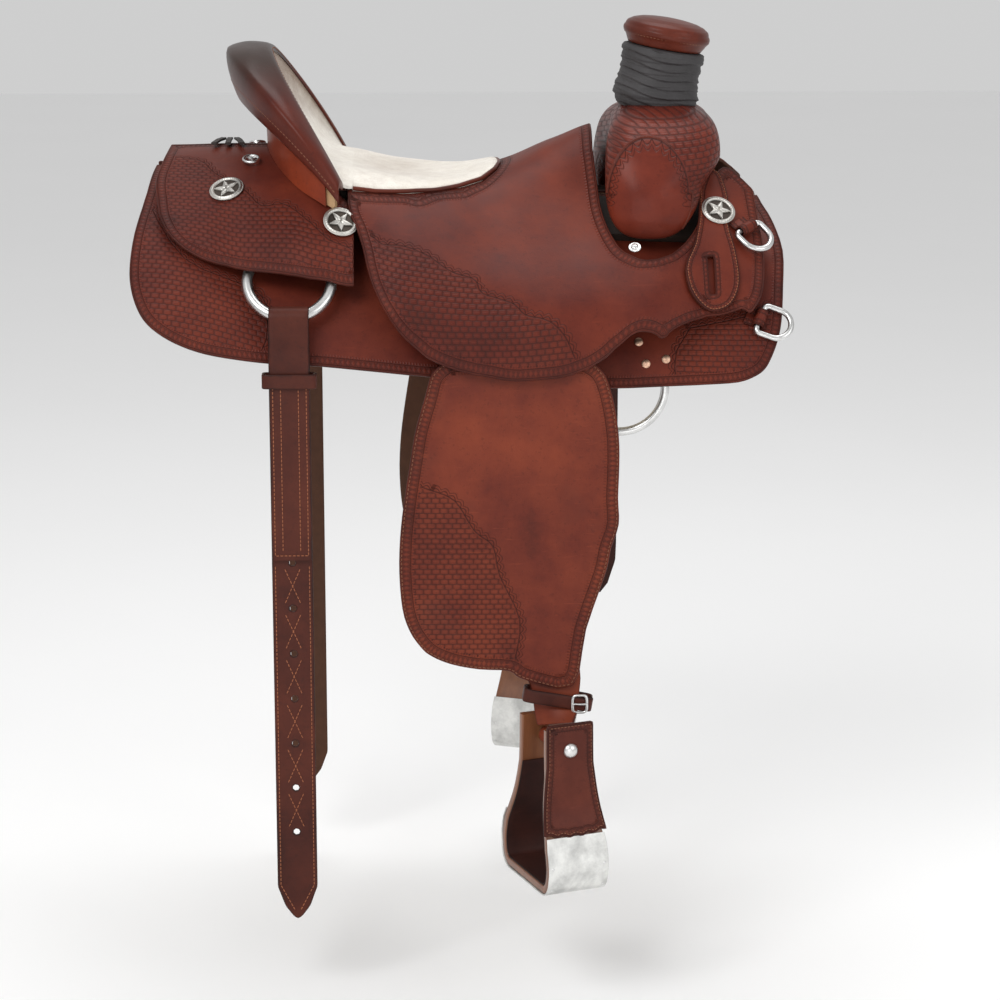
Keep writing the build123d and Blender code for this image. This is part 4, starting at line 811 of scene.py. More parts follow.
def mirror(f, sd):
    """Put a right-hand (+y) map on side sd."""
    def g(a, b):
        p = f(a, b)
        p[..., 1] *= sd
        return p
    return g


def offset_map(f, off):
    def g(a, b):
        e = 1.0
        pa = f(a + e, b) - f(a - e, b)
        pb = f(a, b + e) - f(a, b - e)
        n = np.cross(pa, pb)
        n /= np.maximum(np.linalg.norm(n, axis=-1, keepdims=True), 1e-9)
        c = f(a, b)
        out = np.where((n[..., 2:3] * 1.0 + n[..., 1:2] * np.sign(c[..., 1:2]) * 0.6) < 0, -1.0, 1.0)
        return c + n * out * off
    return g


def table_xy(tab, x, y, sd):
    """Point and unit normal of a table surface at x, |y|."""
    x = np.atleast_1d(np.asarray(x, float))
    y = np.atleast_1d(np.asarray(y, float))
    u = tab.u_at_y(x, y)
    p = tab.pt(x, u)
    e = 2.0
    a = tab.pt(x + e, u) - tab.pt(x - e, u)
    b = tab.pt(x, u + e) - tab.pt(x, u - e)
    n = np.cross(a, b)
    n /= np.linalg.norm(n, axis=-1, keepdims=True)
    n *= np.where(n[:, 2:3] < 0, -1, 1)
    p[:, 1] *= sd
    n[:, 1] *= sd
    return p, n


def plane_at(tab, x, y, sd, lift=0.0):
    p, n = table_xy(tab, x, y, sd)
    p, n = p[0], n[0]
    ex = np.array([1.0, 0, 0]) - n * n[0]
    ex /= np.linalg.norm(ex)
    return p + n * lift, ex, np.cross(n, ex), n


def rounded(w, t, n=7):
    """Rounded rectangle, w across and t thick, as (a, b) points."""
    r = min(t * 0.42, 1.6)
    pts = []
    for cx, cy, a0 in ((w / 2 - r, t / 2 - r, 0), (-w / 2 + r, t / 2 - r, 90), (-w / 2 + r, -t / 2 + r, 180), (w / 2 - r, -t / 2 + r, 270)):
        for k in range(4):
            a = math.radians(a0 + 30 * k)
            pts.append((cx + r * math.cos(a), cy + r * math.sin(a)))
        if a0 in (0, 180):
            sgn = 1 if a0 == 0 else -1
            for k in range(1, n):
                pts.append((sgn * (w / 2 - r - (w - 2 * r) * k / n), sgn * t / 2))
    return np.array(pts)


def strap(name, path, wdir, width, thick, mat, closed=False, n=7, crown=0.0):
    """A strap along a path; wdir is the width direction (one, or one per point), thickness is across both."""
    path = np.asarray(path, float)
    m = len(path)
    w = np.asarray(wdir, float)
    w = np.tile(w, (m, 1)) if w.ndim == 1 else w
    width = np.full(m, float(width)) if np.isscalar(width) else np.asarray(width, float)
    t = (np.roll(path, -1, 0) - np.roll(path, 1, 0)) if closed else np.gradient(path, axis=0)
    t /= np.linalg.norm(t, axis=1, keepdims=True)
    w = w - t * (w * t).sum(1, keepdims=True)
    w /= np.linalg.norm(w, axis=1, keepdims=True)
    nn = np.cross(t, w)
    acc = np.concatenate([[0], np.cumsum(np.linalg.norm(np.diff(path, axis=0), axis=1))])
    secs = []
    for i in range(m):
        secs.append(rounded(width[i], thick, n))
    S = np.array(secs)
    P = path[:, None] + S[..., 0:1] * w[:, None] + (S[..., 1:2] + crown * (1 - (2 * S[..., 0:1] / width[:, None, None]) ** 2)) * nn[:, None]
    k = S.shape[1]
    uv = np.stack([S[..., 0], np.tile(acc[:, None], (1, k)), np.zeros((m, k))], -1)
    ed = width[:, None] / 2 - np.abs(S[..., 0])
    return grid_mesh(name, P, close_u=closed, close_v=True, mat=mat, uv=uv, cap=not closed, sharp=60,
                     extra={"edge": ed, "along": np.tile(acc[:, None], (1, k)), "top": np.ones(S.shape[:2])})


def ring_obj(name, o, ex, ey, R, r, mat, n=72, flat=0.0):
    a = np.linspace(0, 2 * np.pi, n, endpoint=False)
    path = o + R * (np.cos(a)[:, None] * ex + np.sin(a)[:, None] * ey)
    return tube(name, path, r, 16, mat, closed=True)


SKIRT_EDGE = dense([(-322, 104), (-329, 66), (-338, 32), (-341, 3), (-339, -17), (-332, -36), (-322, -50),
                    (-306, -62), (-286, -72), (-262, -80), (-232, -86), (-197, -91), (-147, -95), (-86, -102),
                    (-35, -108), (40, -115), (100, -120), (152, -124), (213, -123), (250, -122), (284, -120),
                    (302, -114), (312, -107), (319, -96), (326, -80), (331, -61), (335, -28), (338, 4),
                    (331, 30), (323, 44), (318, 56)], 3)
SEAT_LOW = dense([(-122, 95), (-118, 58), (-109, 38), (-103, 21), (-99, 4), (-93, -15), (-80, -40), (-60, -66), (-25, -92),
                  (26, -106), (66, -109), (107, -104), (138, -91), (160, -72), (176, -62), (192, -63),
                  (204, -69), (217, -61), (243, -54), (269, -51), (288, -46), (296, -50), (302, -46),
                  (312, -28), (316, 8), (313, 39), (310, 62)], 3)
SEAT_CUT = dense([(300, 72), (284, 84), (271, 80), (258, 56), (245, 31), (224, 12), (201, 5), (181, 6),
                  (162, 16), (148, 42), (143, 75), (140, 105)], 3)
RJ_EDGE = dense([(-306, 125), (-312, 100), (-319, 80), (-316, 62), (-311, 45), (-298, 28), (-277, 14), (-253, 5),
                 (-215, -1), (-176, -6), (-137, -12), (-114, -16), (-113.5, 0), (-113.5, 24), (-113.5, 44)], 3)
CANTLE_FOOT = dense([(-113.5, 58), (-125, 66), (-140, 76), (-160, 92), (-190, 108), (-228, 125)], 3)
KEEPER = dense([(261, 84), (250, 62), (247, 37), (240, 14), (228, -8), (235, -34), (254, -49), (276, -43), (286, -24),
                (284, 4), (278, 30), (280, 55), (274, 76)], 3)
FENDER = dense([(-16, -88), (-33, -102), (-41, -129), (-50, -160), (-55, -188), (-63, -239), (-67, -276), (-68, -313),
                (-65, -351), (-58, -374), (-48, -390), (-37, -401), (-15, -411), (15, -417), (46, -419), (60, -428),
                (112, -436), (126, -374), (146, -313), (151, -288), (159, -262), (158, -234), (159, -199),
                (158, -167), (152, -130), (142, -102), (124, -88)], 3)
SEAT_Z = dense([(-93, 31), (-83, 24), (-58, 21), (-34, 11), (-12, -3), (12, -11), (19, -23), (49, -32), (62, -44), (83, -48),
                (97, -58), (108, -76), (115, -120), (26, -122), (-25, -112), (-80, -66), (-115, 0), (-110, 30)], 3)
SKIRT_ZR = dense([(-324, 55), (-285, 8), (-229, -16), (-206, -29), (-200, -49), (-206, -80), (-250, -110), (-350, -80), (-356, 16), (-350, 50)], 3)
SKIRT_ZF = dense([(235, -67), (293, -57), (341, -42), (350, -80), (337, -128), (244, -135), (219, -115), (220, -88)], 3)
REAR_Z = dense([(-320, 98), (-275, 95), (-258, 85), (-225, 71), (-207, 58), (-183, 60), (-155, 43), (-136, 27), (-105, 12),
                (-100, -25), (-218, -14), (-279, 0), (-328, 49), (-330, 91)], 3)
FEND_Z = dense([(-34, -224), (-10, -235), (10, -267), (29, -283), (36, -315), (57, -363), (52, -407), (50, -432), (-6, -428),
                (-62, -390), (-85, -298), (-80, -229), (-51, -218)], 3)


def to_back(pts, off, smin=9.0):
    x, z = pts[:, 0], pts[:, 1]
    return np.stack([x, np.maximum(back_s(x, z, off), smin)], -1)


def to_table(tab, pts, umin=0.0):
    return np.stack([pts[:, 0], np.maximum(tab.u_at_z(np.clip(pts[:, 0], tab.x0, tab.x1), pts[:, 1]), umin)], -1)


def stitch_on(name, poly2, mapf, normal_from, inset, pitch=4.2, r=0.55, mat=None, keep=None, closed=True):
    """Stitches along a line `inset` inside a closed outline, on a mapped surface."""
    loop = by_step(poly2, 2.0, closed)
    if closed:
        area = 0.5 * np.sum(loop[:, 0] * np.roll(loop[:, 1], -1) - np.roll(loop[:, 0], -1) * loop[:, 1])
        ins = offset_ring(loop, inset, 1.0 if area > 0 else -1.0)
        d, _ = seg_dist(ins, loop)
        ok = (d > inset * 0.93) & inside(loop, ins)
    else:
        ins, ok = loop, np.ones(len(loop), bool)
    if keep is not None:
        ok &= keep(ins)
    runs, cur = [], []
    for i in range(len(ins)):
        if ok[i] and (not cur or np.linalg.norm(ins[i] - cur[-1]) < 6.0):
            cur.append(ins[i])
        else:
            if len(cur) > 4:
                runs.append(np.array(cur))
            cur = [ins[i]] if ok[i] else []
    if len(cur) > 4:
        runs.append(np.array(cur))
    objs = []
    for k, rn in enumerate(runs):
        P = mapf(rn[:, 0], rn[:, 1])
        e = 0.8
        n = np.cross(mapf(rn[:, 0] + e, rn[:, 1]) - mapf(rn[:, 0] - e, rn[:, 1]), mapf(rn[:, 0], rn[:, 1] + e) - mapf(rn[:, 0], rn[:, 1] - e))
        n /= np.maximum(np.linalg.norm(n, axis=1, keepdims=True), 1e-9)
        n *= np.where((n @ np.asarray(normal_from, float))[:, None] < 0, -1, 1)
        objs.append(stitches(name + "_%d" % k, P, n, pitch, r, mat))
    return join(name, objs) if objs else None


# ---------------------------------------------------------------------------
# skirts, fleece, seat, jockeys
# ---------------------------------------------------------------------------
for s, sd in SIDES:
    out = to_back(SKIRT_EDGE, 19.0)
    out = np.vstack([out, [(318, 12)], [(-322, 12)]])
    mp = mirror(lambda x, q: back_pt(x, q, 19.0), sd)
    o = panel("skirt_leather_" + s, [out], mp, 5.0, 5.0, [to_back(SKIRT_ZR, 19.0, 2), to_back(SKIRT_ZF, 19.0, 2)], mat=M_SKIRT, under=(0, sd * 0.8, 0.6))
    place(o, "saddle", ["skirt_" + s])

    fe = SKIRT_EDGE.copy()
    fe[:, 0] *= 0.985
    low = fe[:, 1] < 0
    fe[low, 1] += 1.5
    out = to_back(fe, 13.6, 12.0)
    out = np.vstack([out, [(313, 14)], [(-317, 14)]])
    ph = rng.uniform(0, 6.28, (6,))
    def fuzz(x, q, d):
        return 0.55 * np.sin(x * 0.61 + ph[0] + 2 * np.sin(q * 0.23)) + 0.5 * np.sin(q * 0.7 + ph[1] + 1.7 * np.sin(x * 0.31)) - 1.0
    mp = mirror(lambda x, q: back_pt(x, q, 13.4), sd)
    th = lambda x, q: 11.2 + 1.1 * np.sin(x * 0.43 + 2.2 * np.sin(q * 0.19)) + 1.1 * np.sin(q * 0.51 + 1.9 * np.sin(x * 0.27))
    o = panel("wool_" + s, [out], mp, th, 5.5, None, lift=lambda x, q, d: np.minimum(fuzz(x, q, d), -0.2), rnd=5.0, mat=M_FLEECE, under=(0, sd * 0.8, 0.6))
    place(o, "saddle", ["fleece_" + s])

# seat leather with both front jockeys, one piece
lo = to_table(SEAT, SEAT_LOW)
cut = to_table(SEAT, SEAT_CUT)
right = np.vstack([lo, cut])
loop = np.vstack([np.stack([right[:, 0], -right[:, 1]], -1), np.stack([right[::-1, 0], right[::-1, 1]], -1)])
zr = to_table(SEAT, SEAT_Z)
zones = [np.stack([zr[:, 0], -zr[:, 1]], -1), zr]


def seat_lift(x, u, d):
    # soft hollows of a broken-in seat
    return 0.5 * np.sin(x * 0.030 + 1.0) * np.sin(u * 0.035) + 0.35 * np.sin(x * 0.075 + u * 0.04) - 0.4


PADL = dense([(-113.0, 127), (-90, 124), (-60, 116), (-46, 117), (-30, 104), (-8, 95), (0, 92), (8, 84), (22, 72), (36, 48), (43, 20), (44, 1.0)], 4)
pu = np.stack([PADL[:, 0], SEAT.u_at_y(PADL[:, 0], PADL[:, 1])], -1)
inner = np.vstack([np.stack([pu[:, 0], -pu[:, 1]], -1), pu[::-1]])
o = panel("seat_and_jockeys", [loop], lambda x, u: SEAT.pt(np.clip(x, -118, 325), u), 4.4, 5.0, zones, lift=seat_lift, mat=M_JOCKEY, under=(0, 0, 1), inner=inner)
place(o, "saddle", ["seat_leather"])

for s, sd in SIDES:
    rje = RJ_EDGE.copy()
    rje[rje[:, 0] > -116.0, 0] = -102.0
    out = to_table(REAR, np.vstack([rje, CANTLE_FOOT]), 0.5)
    mp = mirror(lambda x, u: REAR.pt(np.clip(x, -325, -112), u), sd)

    def rj_lift(x, u, d):
        return 0.6 * np.sin(x * 0.045) * np.sin(u * 0.05 + 0.6) - 0.3
    o = panel("rear_jockey_leather_" + s, [out], mp, 4.4, 4.6, [to_table(REAR, REAR_Z)], lift=rj_lift, mat=M_JOCKEY, under=(0, sd * 0.6, 0.8))
    place(o, "saddle", ["rear_jockey_" + s])

    # pear-shaped keeper
    kout = to_table(SEAT, KEEPER)
    slot = by_step(to_table(SEAT, np.array([(253.0, 1.0), (259.5, 1.0), (259.5, -33.0), (253.0, -33.0)])), 1.5, True)
    mk = offset_map(mirror(lambda x, u: SEAT.pt(x, u), sd), 4.8)
    o = panel("keeper_leather_" + s, [kout, slot], mk, 4.3, 3.4, None, mat=M_KEEP, under=(0, sd * 0.6, 0.8), rnd=1.4)
    place(o, "saddle", ["latigo_keeper_" + s])
    o = stitch_on("keeper_stitch_" + s, slot, mk, (0, sd * 0.6, 0.8), -3.0, 3.2, 0.4, M_THREAD)
    if o is None:
        o = stitch_on("keeper_stitch_" + s, kout, mk, (0, sd * 0.6, 0.8), 2.2, 3.4, 0.4, M_THREAD)
    place(o, "saddle")

    # fender with a slight outward crown
    def fm(x, z, sd=sd):
        return np.stack([x, sd * (226.5 + 3.0 * np.sin(np.clip((-90 - z) / 330, 0, 1) * np.pi) * np.clip(1 - ((x - 48) / 125.0) ** 2, 0, 1)), z], -1)
    o = panel("fender_leather_" + s, [FENDER], fm, 4.4, 4.6, [FEND_Z], mat=M_FENDER, under=(0, sd, 0))
    place(o, "leg_" + s, ["fender_" + s])
    o = stitch_on("fender_stitch_" + s, FENDER, fm, (0, sd, 0), 2.6, 4.4, 0.5, M_THREAD_D)
    place(o, "leg_" + s)

# padded suede inlay: polar rows from the cantle lip down, then rows forward over the seat
PAD = np.array([(-113.0, 124), (-90, 121), (-60, 112), (-30, 100), (0, 84), (22, 66), (36, 42), (41, 16), (42, 0.5)])
F_X = np.array([0.0, 0.07, 0.244, 0.453, 0.709, 1.0])
F_Z = np.array([0.0, 0.29, 0.578, 0.82, 0.948, 1.0])
nv = 101
v = np.linspace(-1, 1, nv)
phi = np.radians(80.0) * v
rx, ry, rz = rim(phi)
dx, dy = rx + 95.0, ry
rr = np.hypot(dx, dy)
L = np.stack([rx - 7 * dx / rr, ry - 7 * dy / rr, rz - 5.0], -1)
ey = 124.0 * np.sin(phi) / math.sin(math.radians(80))


def seat_top(x, y, off):
    p, n = table_xy(SEAT, np.full(len(y), x), np.abs(y), 1.0)
    return p[:, 2] + off


E = np.stack([np.full(nv, -113.0), ey, seat_top(-113.0, ey, 4.6)], -1)
rows, grime_and_shade = [], []
for t in np.linspace(0, 1, 30)[:-1]:
    f = float(pchip(F_X, F_Z, t)[0])
    R = L + (E - L) * t
    R[:, 2] = L[:, 2] + (E[:, 2] - L[:, 2]) * f
    rows.append(R)
    # the band around t = 0.10 is a painted shadow across the upper cantle dish; the rows right under the rim are darker
    # too
    grime_and_shade.append(0.08 + 0.95 * np.exp(-((t - 0.10) / 0.13) ** 2) * np.clip(1.25 - np.abs(v + 0.12) * 1.1, 0, 1) + 0.9 * np.clip((0.045 - t) / 0.03, 0, 1))
xs = -113.0 + 155.0 * np.sin(np.linspace(0, np.pi / 2, 44))
for x in xs:
    ym = float(np.interp(x, PAD[:, 0], PAD[:, 1]))
    y = ym * np.sin(phi) / math.sin(math.radians(80))
    q = np.abs(v) ** 8
    fr = np.clip((42.0 - x) / 9.0, 0, 1)
    off = (4.6 - 3.9 * q) * np.sqrt(fr * (2 - fr)) + 0.4
    rows.append(np.stack([np.full(nv, x), y, seat_top(x, y, 0) + off], -1))
    grime_and_shade.append(0.08 + 0.35 * np.exp(-((x + 70) / 45.0) ** 2 - (v / 0.5) ** 2) + 0.35 * np.clip((np.abs(v) - 0.85) / 0.15, 0, 1) + 0.4 * (1 - fr))
G = np.array(rows)
G[..., 2] += 0.5 * np.sin(G[..., 0] * 0.09 + 1.3 * np.sin(G[..., 1] * 0.06)) * np.cos(v)[None] * 0.8
under = G.copy()
under[..., 2] -= 3.4
full = np.concatenate([G, under[:, ::-1]], 1)
o = grid_mesh("seat_suede", full, close_v=True, mat=M_SUEDE, cap=True, sharp=60, extra={"grime_and_shade": np.concatenate([np.array(grime_and_shade), np.array(grime_and_shade)[:, ::-1]], 1)})
place(o, "saddle", ["seat_inlay"])

# rolled leather edge round the suede, on the near and far side and the front
edge = np.vstack([G[29:, 0], G[29:, -1][::-1]])
edge = by_step(edge, 3.0)
edge[:, 2] += 0.6
o = tube("inlay_piping", edge, 2.3, 10, M_ROLL)
place(o, "saddle")

# ---------------------------------------------------------------------------
# cantle: binding roll and back leather
# ---------------------------------------------------------------------------


def radial(sections, a, n):
    out = []
    for i in range(n):
        ph = math.radians(-a + 2 * a * i / (n - 1))
        x, y, z = [float(q) for q in rim(ph)]
        dx, dy = x + 95.0, y
        r = math.hypot(dx, dy)
        poly = np.array(sections(ph), float)
        out.append(np.stack([-95.0 + dx / r * (r + poly[:, 0]), dy / r * (r + poly[:, 0]), poly[:, 1]], -1))
    return np.array(out)


def smooth_loop(poly, n=44):
    p = np.asarray(poly, float)
    q = np.vstack([p[-2:], p, p[:3]])
    d = dense(q, 6)
    d = d[12: 12 + 6 * len(p)]
    return resample(d, n, True)


def roll_section(ph):
    c = max(math.cos(ph), 0.0)
    z = float(rim(ph)[2])
    w = 12 + 28 * c
    d = 10 + 36 * c
    t = 4.5
    wav = 0.5 * math.sin(ph * 13.0)
    pts = [(-9, z - 7), (-8, z - 2), (-2, z + 2.2), (w * 0.45, z + 3.2 + wav), (w * 0.85, z + 0.4), (w + 0.5, z - 5),
           (w - 1.5, z - 5 - d * 0.45), (max(13.0, w * 0.72) + 0.5, z - 6 - d), (max(13.0, w * 0.72) - t, z - 6 - d + 1.5),
           (max(9.0, w - 7), z - 8 - d * 0.4), (max(8.0, w * 0.7), z - 4), (6, z - 4.5), (-2, z - 7.0)]
    return smooth_loop(pts)


P = radial(roll_section, 84.0, 150)
phs = np.radians(np.linspace(-84, 84, 150))
drk = np.clip((P[..., 2] - 165.0) / 35.0, 0, 1) * 0.9
o = grid_mesh("cantle_binding", P, close_v=True, mat=M_CREST, cap=True, sharp=60, extra={"grime_and_shade": drk})
place(o, "saddle", ["cantle_roll"])


def roll_top(ph, f, lift):
    c = max(math.cos(ph), 0.0)
    z = float(rim(ph)[2])
    w = 12 + 28 * c
    d = 10 + 36 * c
    a0 = w - 1.5
    return (a0 + (max(13.0, w * 0.72) + 0.5 - a0) * 0.30 + 0.1, z - 5 - d * 0.62) if f == 0 else (-8.3, z - 3.0)


for k in (0, 1):
    path, nrm = [], []
    for i in range(160):
        ph = math.radians(-82 + 164 * i / 159)
        x, y, z = [float(q) for q in rim(ph)]
        dx, dy = x + 95.0, y
        r = math.hypot(dx, dy)
        a, b = roll_top(ph, k, 0)
        path.append((-95 + dx / r * (r + a), dy / r * (r + a), b))
        sg = 1 if k == 0 else -1
        nrm.append((dx / r * sg, dy / r * sg, 0.15))
    o = stitches("binding_stitch_%d" % k, path, np.array(nrm), 4.6, 0.6, M_THREAD_D)
    place(o, "saddle")


def floor_z(ph):
    x, y, z = [float(q) for q in rim(ph)]
    xx = min(-112.0, x - 4.0)
    return float(table_xy(REAR, xx, max(3.1, abs(y)), 1.0)[0][0, 2]) + 1.0


def back_section(ph):
    c = max(math.cos(ph), 0.0)
    z = float(rim(ph)[2])
    f = floor_z(ph)
    top = z - 7 - 12 * c
    bot = min(f, top - 5)
    out = []
    n = 14
    for i in range(n):
        t = i / (n - 1)
        out.append((8.6 - (2 + 8 * c) * t - 2.2 * math.sin(t * math.pi) * c, top + (bot - top) * t))
    for i in range(n):
        t = 1 - i / (n - 1)
        out.append((4.6 - (2 + 8 * c) * t - 2.2 * math.sin(t * math.pi) * c, top + (bot - top) * t))
    return out


P = radial(back_section, 74.5, 110)
o = grid_mesh("cantle_back_leather", P, close_v=True, mat=M_BACK, cap=True, sharp=50)
place(o, "saddle", ["cantle_back"])

# ---------------------------------------------------------------------------
# fork cover and horn
# ---------------------------------------------------------------------------
FORK = np.array([(0, 207, 46, 92, 152), (40, 207, 50, 84, 149), (75, 205, 53, 60, 141), (103, 200, 50, 28, 126),
                 (122, 195, 41, 18, 106), (134, 192, 26, 28, 84)], float)


def fork_pt(y, a, sh=0.0):
    p = pchip(FORK[:, 0], FORK[:, 1:], np.minimum(np.abs(y), 134.0))
    xc, hx, z0, z1 = p[:, 0], p[:, 1] - sh, p[:, 2] + sh, p[:, 3] - sh
    # rounded end of the swell
    e = np.clip((np.abs(y) - 116.0) / 18.6, 0, 0.997)
    k = np.sqrt(1 - e * e)
    k = 0.55 + 0.45 * k
    zc, hz = (z0 + z1) / 2, (z1 - z0) / 2
    c, s_ = np.cos(a), np.sin(a)
    ex = 0.72
    X = xc[:, None] + (hx * k)[:, None] * (np.sign(c) * np.abs(c) ** ex)[None]
    Z = zc[:, None] + (hz * k)[:, None] * (np.sign(s_) * np.abs(s_) ** ex)[None]
    X = X + 15.0 * smooth((Z - 66.0) / 36.0) * np.maximum(c, 0.0)[None]
    return np.stack([X, np.tile(y[:, None], (1, len(a))), Z], -1)


ys = 134.4 * np.sin(np.linspace(-np.pi / 2, np.pi / 2, 190))
ang = np.linspace(0, 2 * np.pi, 132, endpoint=False)
P = fork_pt(ys, ang)
capn = []
for sgn, base in ((-1, P[0]), (1, P[-1])):
    cen = base.mean(0)
    rows_ = []
    for f in (0.85, 0.6, 0.35, 0.12):
        q = cen + (base - cen) * f
        q[:, 1] = base[:, 1] + sgn * 1.8 * (1 - f * f)
        rows_.append(q)
    capn.append(np.array(rows_))
P = np.concatenate([capn[0][::-1], P, capn[1]])
SWX, SWZ = 194.0, 66.0
# smooth egg-shaped swell with a stamped field round it
bul = np.sqrt(((P[..., 0] - SWX) / np.where(P[..., 2] > SWZ, 41.0, 45.0)) ** 2 + ((P[..., 2] - SWZ) / 56.0) ** 2)
side = np.clip((np.abs(P[..., 1]) - 70.0) / 30.0, 0, 1)
zone = (bul - 1.0) * 34.0
zone = np.where(side > 0.02, zone, 30.0)
zone = np.minimum(zone, (P[..., 2] - 60.0) * 0.8)
out_n = np.stack([np.zeros_like(bul), np.sign(P[..., 1]), np.zeros_like(bul)], -1)
P = P + out_n * (2.2 * side * np.clip(1.15 - bul, 0, 1) ** 0.5)[..., None]
uvf = np.stack([P[..., 0] * 0.8 + P[..., 1] * 0.35, P[..., 2] + np.abs(P[..., 1]) * 0.15, 0 * bul], -1)
o = grid_mesh("fork_leather", P, close_v=True, mat=M_FORK, uv=uvf, cap=True, sharp=60,
              extra={"zone": zone, "zalong": (np.arctan2(P[..., 2] - SWZ, P[..., 0] - SWX) * 48.0)})
place(o, "saddle", ["fork_cover"])
# welt seams that run round the swell
for s, sd in SIDES:
    for k, a0 in enumerate((18.0,)):
        th = np.radians(np.linspace(-60, 236, 90))
        path = np.stack([SWX + np.where(np.sin(th) > 0, 42.5, 46.5) * np.cos(th), 0 * th, SWZ + 57.5 * np.sin(th)], -1)
        keep = []
        for q in path:
            yy = np.linspace(60, 134, 75)
            prof = pchip(FORK[:, 0], FORK[:, 1:], yy)
            e = np.clip((yy - 116.0) / 18.6, 0, 0.997)
            kk = 0.55 + 0.45 * np.sqrt(1 - e * e)
            val = (np.abs(q[0] - prof[:, 0]) / (prof[:, 1] * kk)) ** (1 / 0.72 * 2) + (np.abs(q[2] - (prof[:, 2] + prof[:, 3]) / 2) / ((prof[:, 3] - prof[:, 2]) / 2 * kk)) ** (1 / 0.72 * 2)
            ok = np.nonzero(val <= 1.0)[0]
            if len(ok):
                keep.append((q[0], sd * (yy[ok[-1]] + 0.4), q[2]))
        if len(keep) > 8:
            o = tube("swell_welt_%s" % s, by_step(np.array(keep), 3.0), 1.5, 8, M_ROLL)
            place(o, "saddle")

ta = math.radians(10.0)
HO = np.array([208.0, 0.0, 146.0])
HX_, HY_, HZ_ = np.array([math.cos(ta), 0, -math.sin(ta)]), np.array([0, 1.0, 0]), np.array([math.sin(ta), 0, math.cos(ta)])


def wrap_disp(h, a):
    w = 0
    for kk, (pitch, slope, amp) in enumerate(((9.5, 1.0, 1.5), (6.1, -1.0, 0.5), (13.0, 2.0, 0.6))):
        q = np.mod(h / pitch + slope * a / (2 * np.pi) + 0.25 * np.sin(3 * a + kk), 1.0)
        w = w + amp * (np.minimum(q * 4, 1 - q) * 1.3 - 0.4)
    return w


hs = np.linspace(-5, 61, 100)
rad = np.interp(hs, [-5, 2, 9, 13, 22, 34, 48, 57, 60, 61], [38.0, 43.0, 45.5, 45.5, 43.5, 42.0, 43.0, 44.5, 43.0, 40.0])
prof = [(22.4, -5.0)] + list(zip(rad, hs)) + [(22.4, 61.0)]
o = lathe("horn_rubber", prof, (HO, HX_, HY_, HZ_), 150, M_RUBBER, lambda h, a: np.where((h > -4.9) & (h < 61.0), wrap_disp(h, a), 0.0))
place(o, "saddle", ["horn_wrap"])
prof = [(22.4, 61.6), (39, 61.6), (41.5, 66), (43.5, 70), (46.0, 73), (46.8, 75.5), (46.6, 78.5), (44.6, 81), (44.9, 81.8), (43.5, 84.5), (38, 88), (30, 90.6), (20, 92.1), (10, 92.9), (0.5, 93.1)]
o = lathe("horn_cap_leather", by_step(np.array(prof), 1.6), (HO, HX_, HY_, HZ_), 110, M_ROLL, lambda h, a: 0.25 * np.sin(5 * a + h * 0.3) * (h < 92))
place(o, "saddle", ["horn_cap"])
a = np.linspace(0, 2 * np.pi, 200)
path = HO + 44.6 * (np.cos(a)[:, None] * HX_ + np.sin(a)[:, None] * HY_) + 72.0 * HZ_
nr = np.cos(a)[:, None] * HX_ + np.sin(a)[:, None] * HY_
o = stitches("horn_cap_stitch", path, nr, 4.0, 0.55, M_THREAD_D)
place(o, "saddle")

# ---------------------------------------------------------------------------
# conchos, screws, rivets
# ---------------------------------------------------------------------------


def concho(name, fr, R=18.0, h0=0.0):
    o, ex, ey, ez = fr
    na, nr_ = 140, 40
    a = np.linspace(0, 2 * np.pi, na, endpoint=False)
    q = np.linspace(0, 1, nr_)
    rad = R * np.concatenate([q, [1.0, 1.0]])
    A, Q = np.meshgrid(a, rad)
    b = np.mod(A - np.pi / 2, 2 * np.pi / 5)
    b = np.minimum(b, 2 * np.pi / 5 - b)
    # radius of a five-pointed star: tips at 13, inner corners at 5.2
    ti, tc = 13.6, 5.4
    w5 = np.pi / 5
    star = ti * tc * np.sin(w5) / (ti * np.sin(b) + tc * np.sin(w5 - b))
    inside_ = np.clip((star - Q) / 1.0, 0, 1)
    ridge_ = (1 - np.clip(b / (np.pi / 5), 0, 1)) * 0.7 + 0.5
    rimh = np.clip(1 - np.abs(Q - 15.2) / 1.7, 0, 1) ** 0.6 * (1.3 + 0.18 * np.cos(A * 36))
    H = 1.0 + 0.9 * np.sqrt(np.clip(1 - (Q / R) ** 2, 0, 1)) + rimh + inside_ * (1.2 * ridge_ * (1 - 0.35 * Q / 12.0))
    H[-2], H[-1] = 0.6, 0.0
    Rr = Q.copy()
    P_ = o + (Rr * np.cos(A))[..., None] * ex + (Rr * np.sin(A))[..., None] * ey + (H + h0)[..., None] * ez
    gap = (star < Q - 0.2) & (Q < 13.2)
    H = np.where(gap, 0.7, H)
    cav = gap * 0.96
    P_ = o + (Rr * np.cos(A))[..., None] * ex + (Rr * np.sin(A))[..., None] * ey + (H + h0)[..., None] * ez
    return grid_mesh(name, P_, close_v=True, mat=M_SILVER, cap=True, sharp=25, extra={"grime_and_shade": cav})


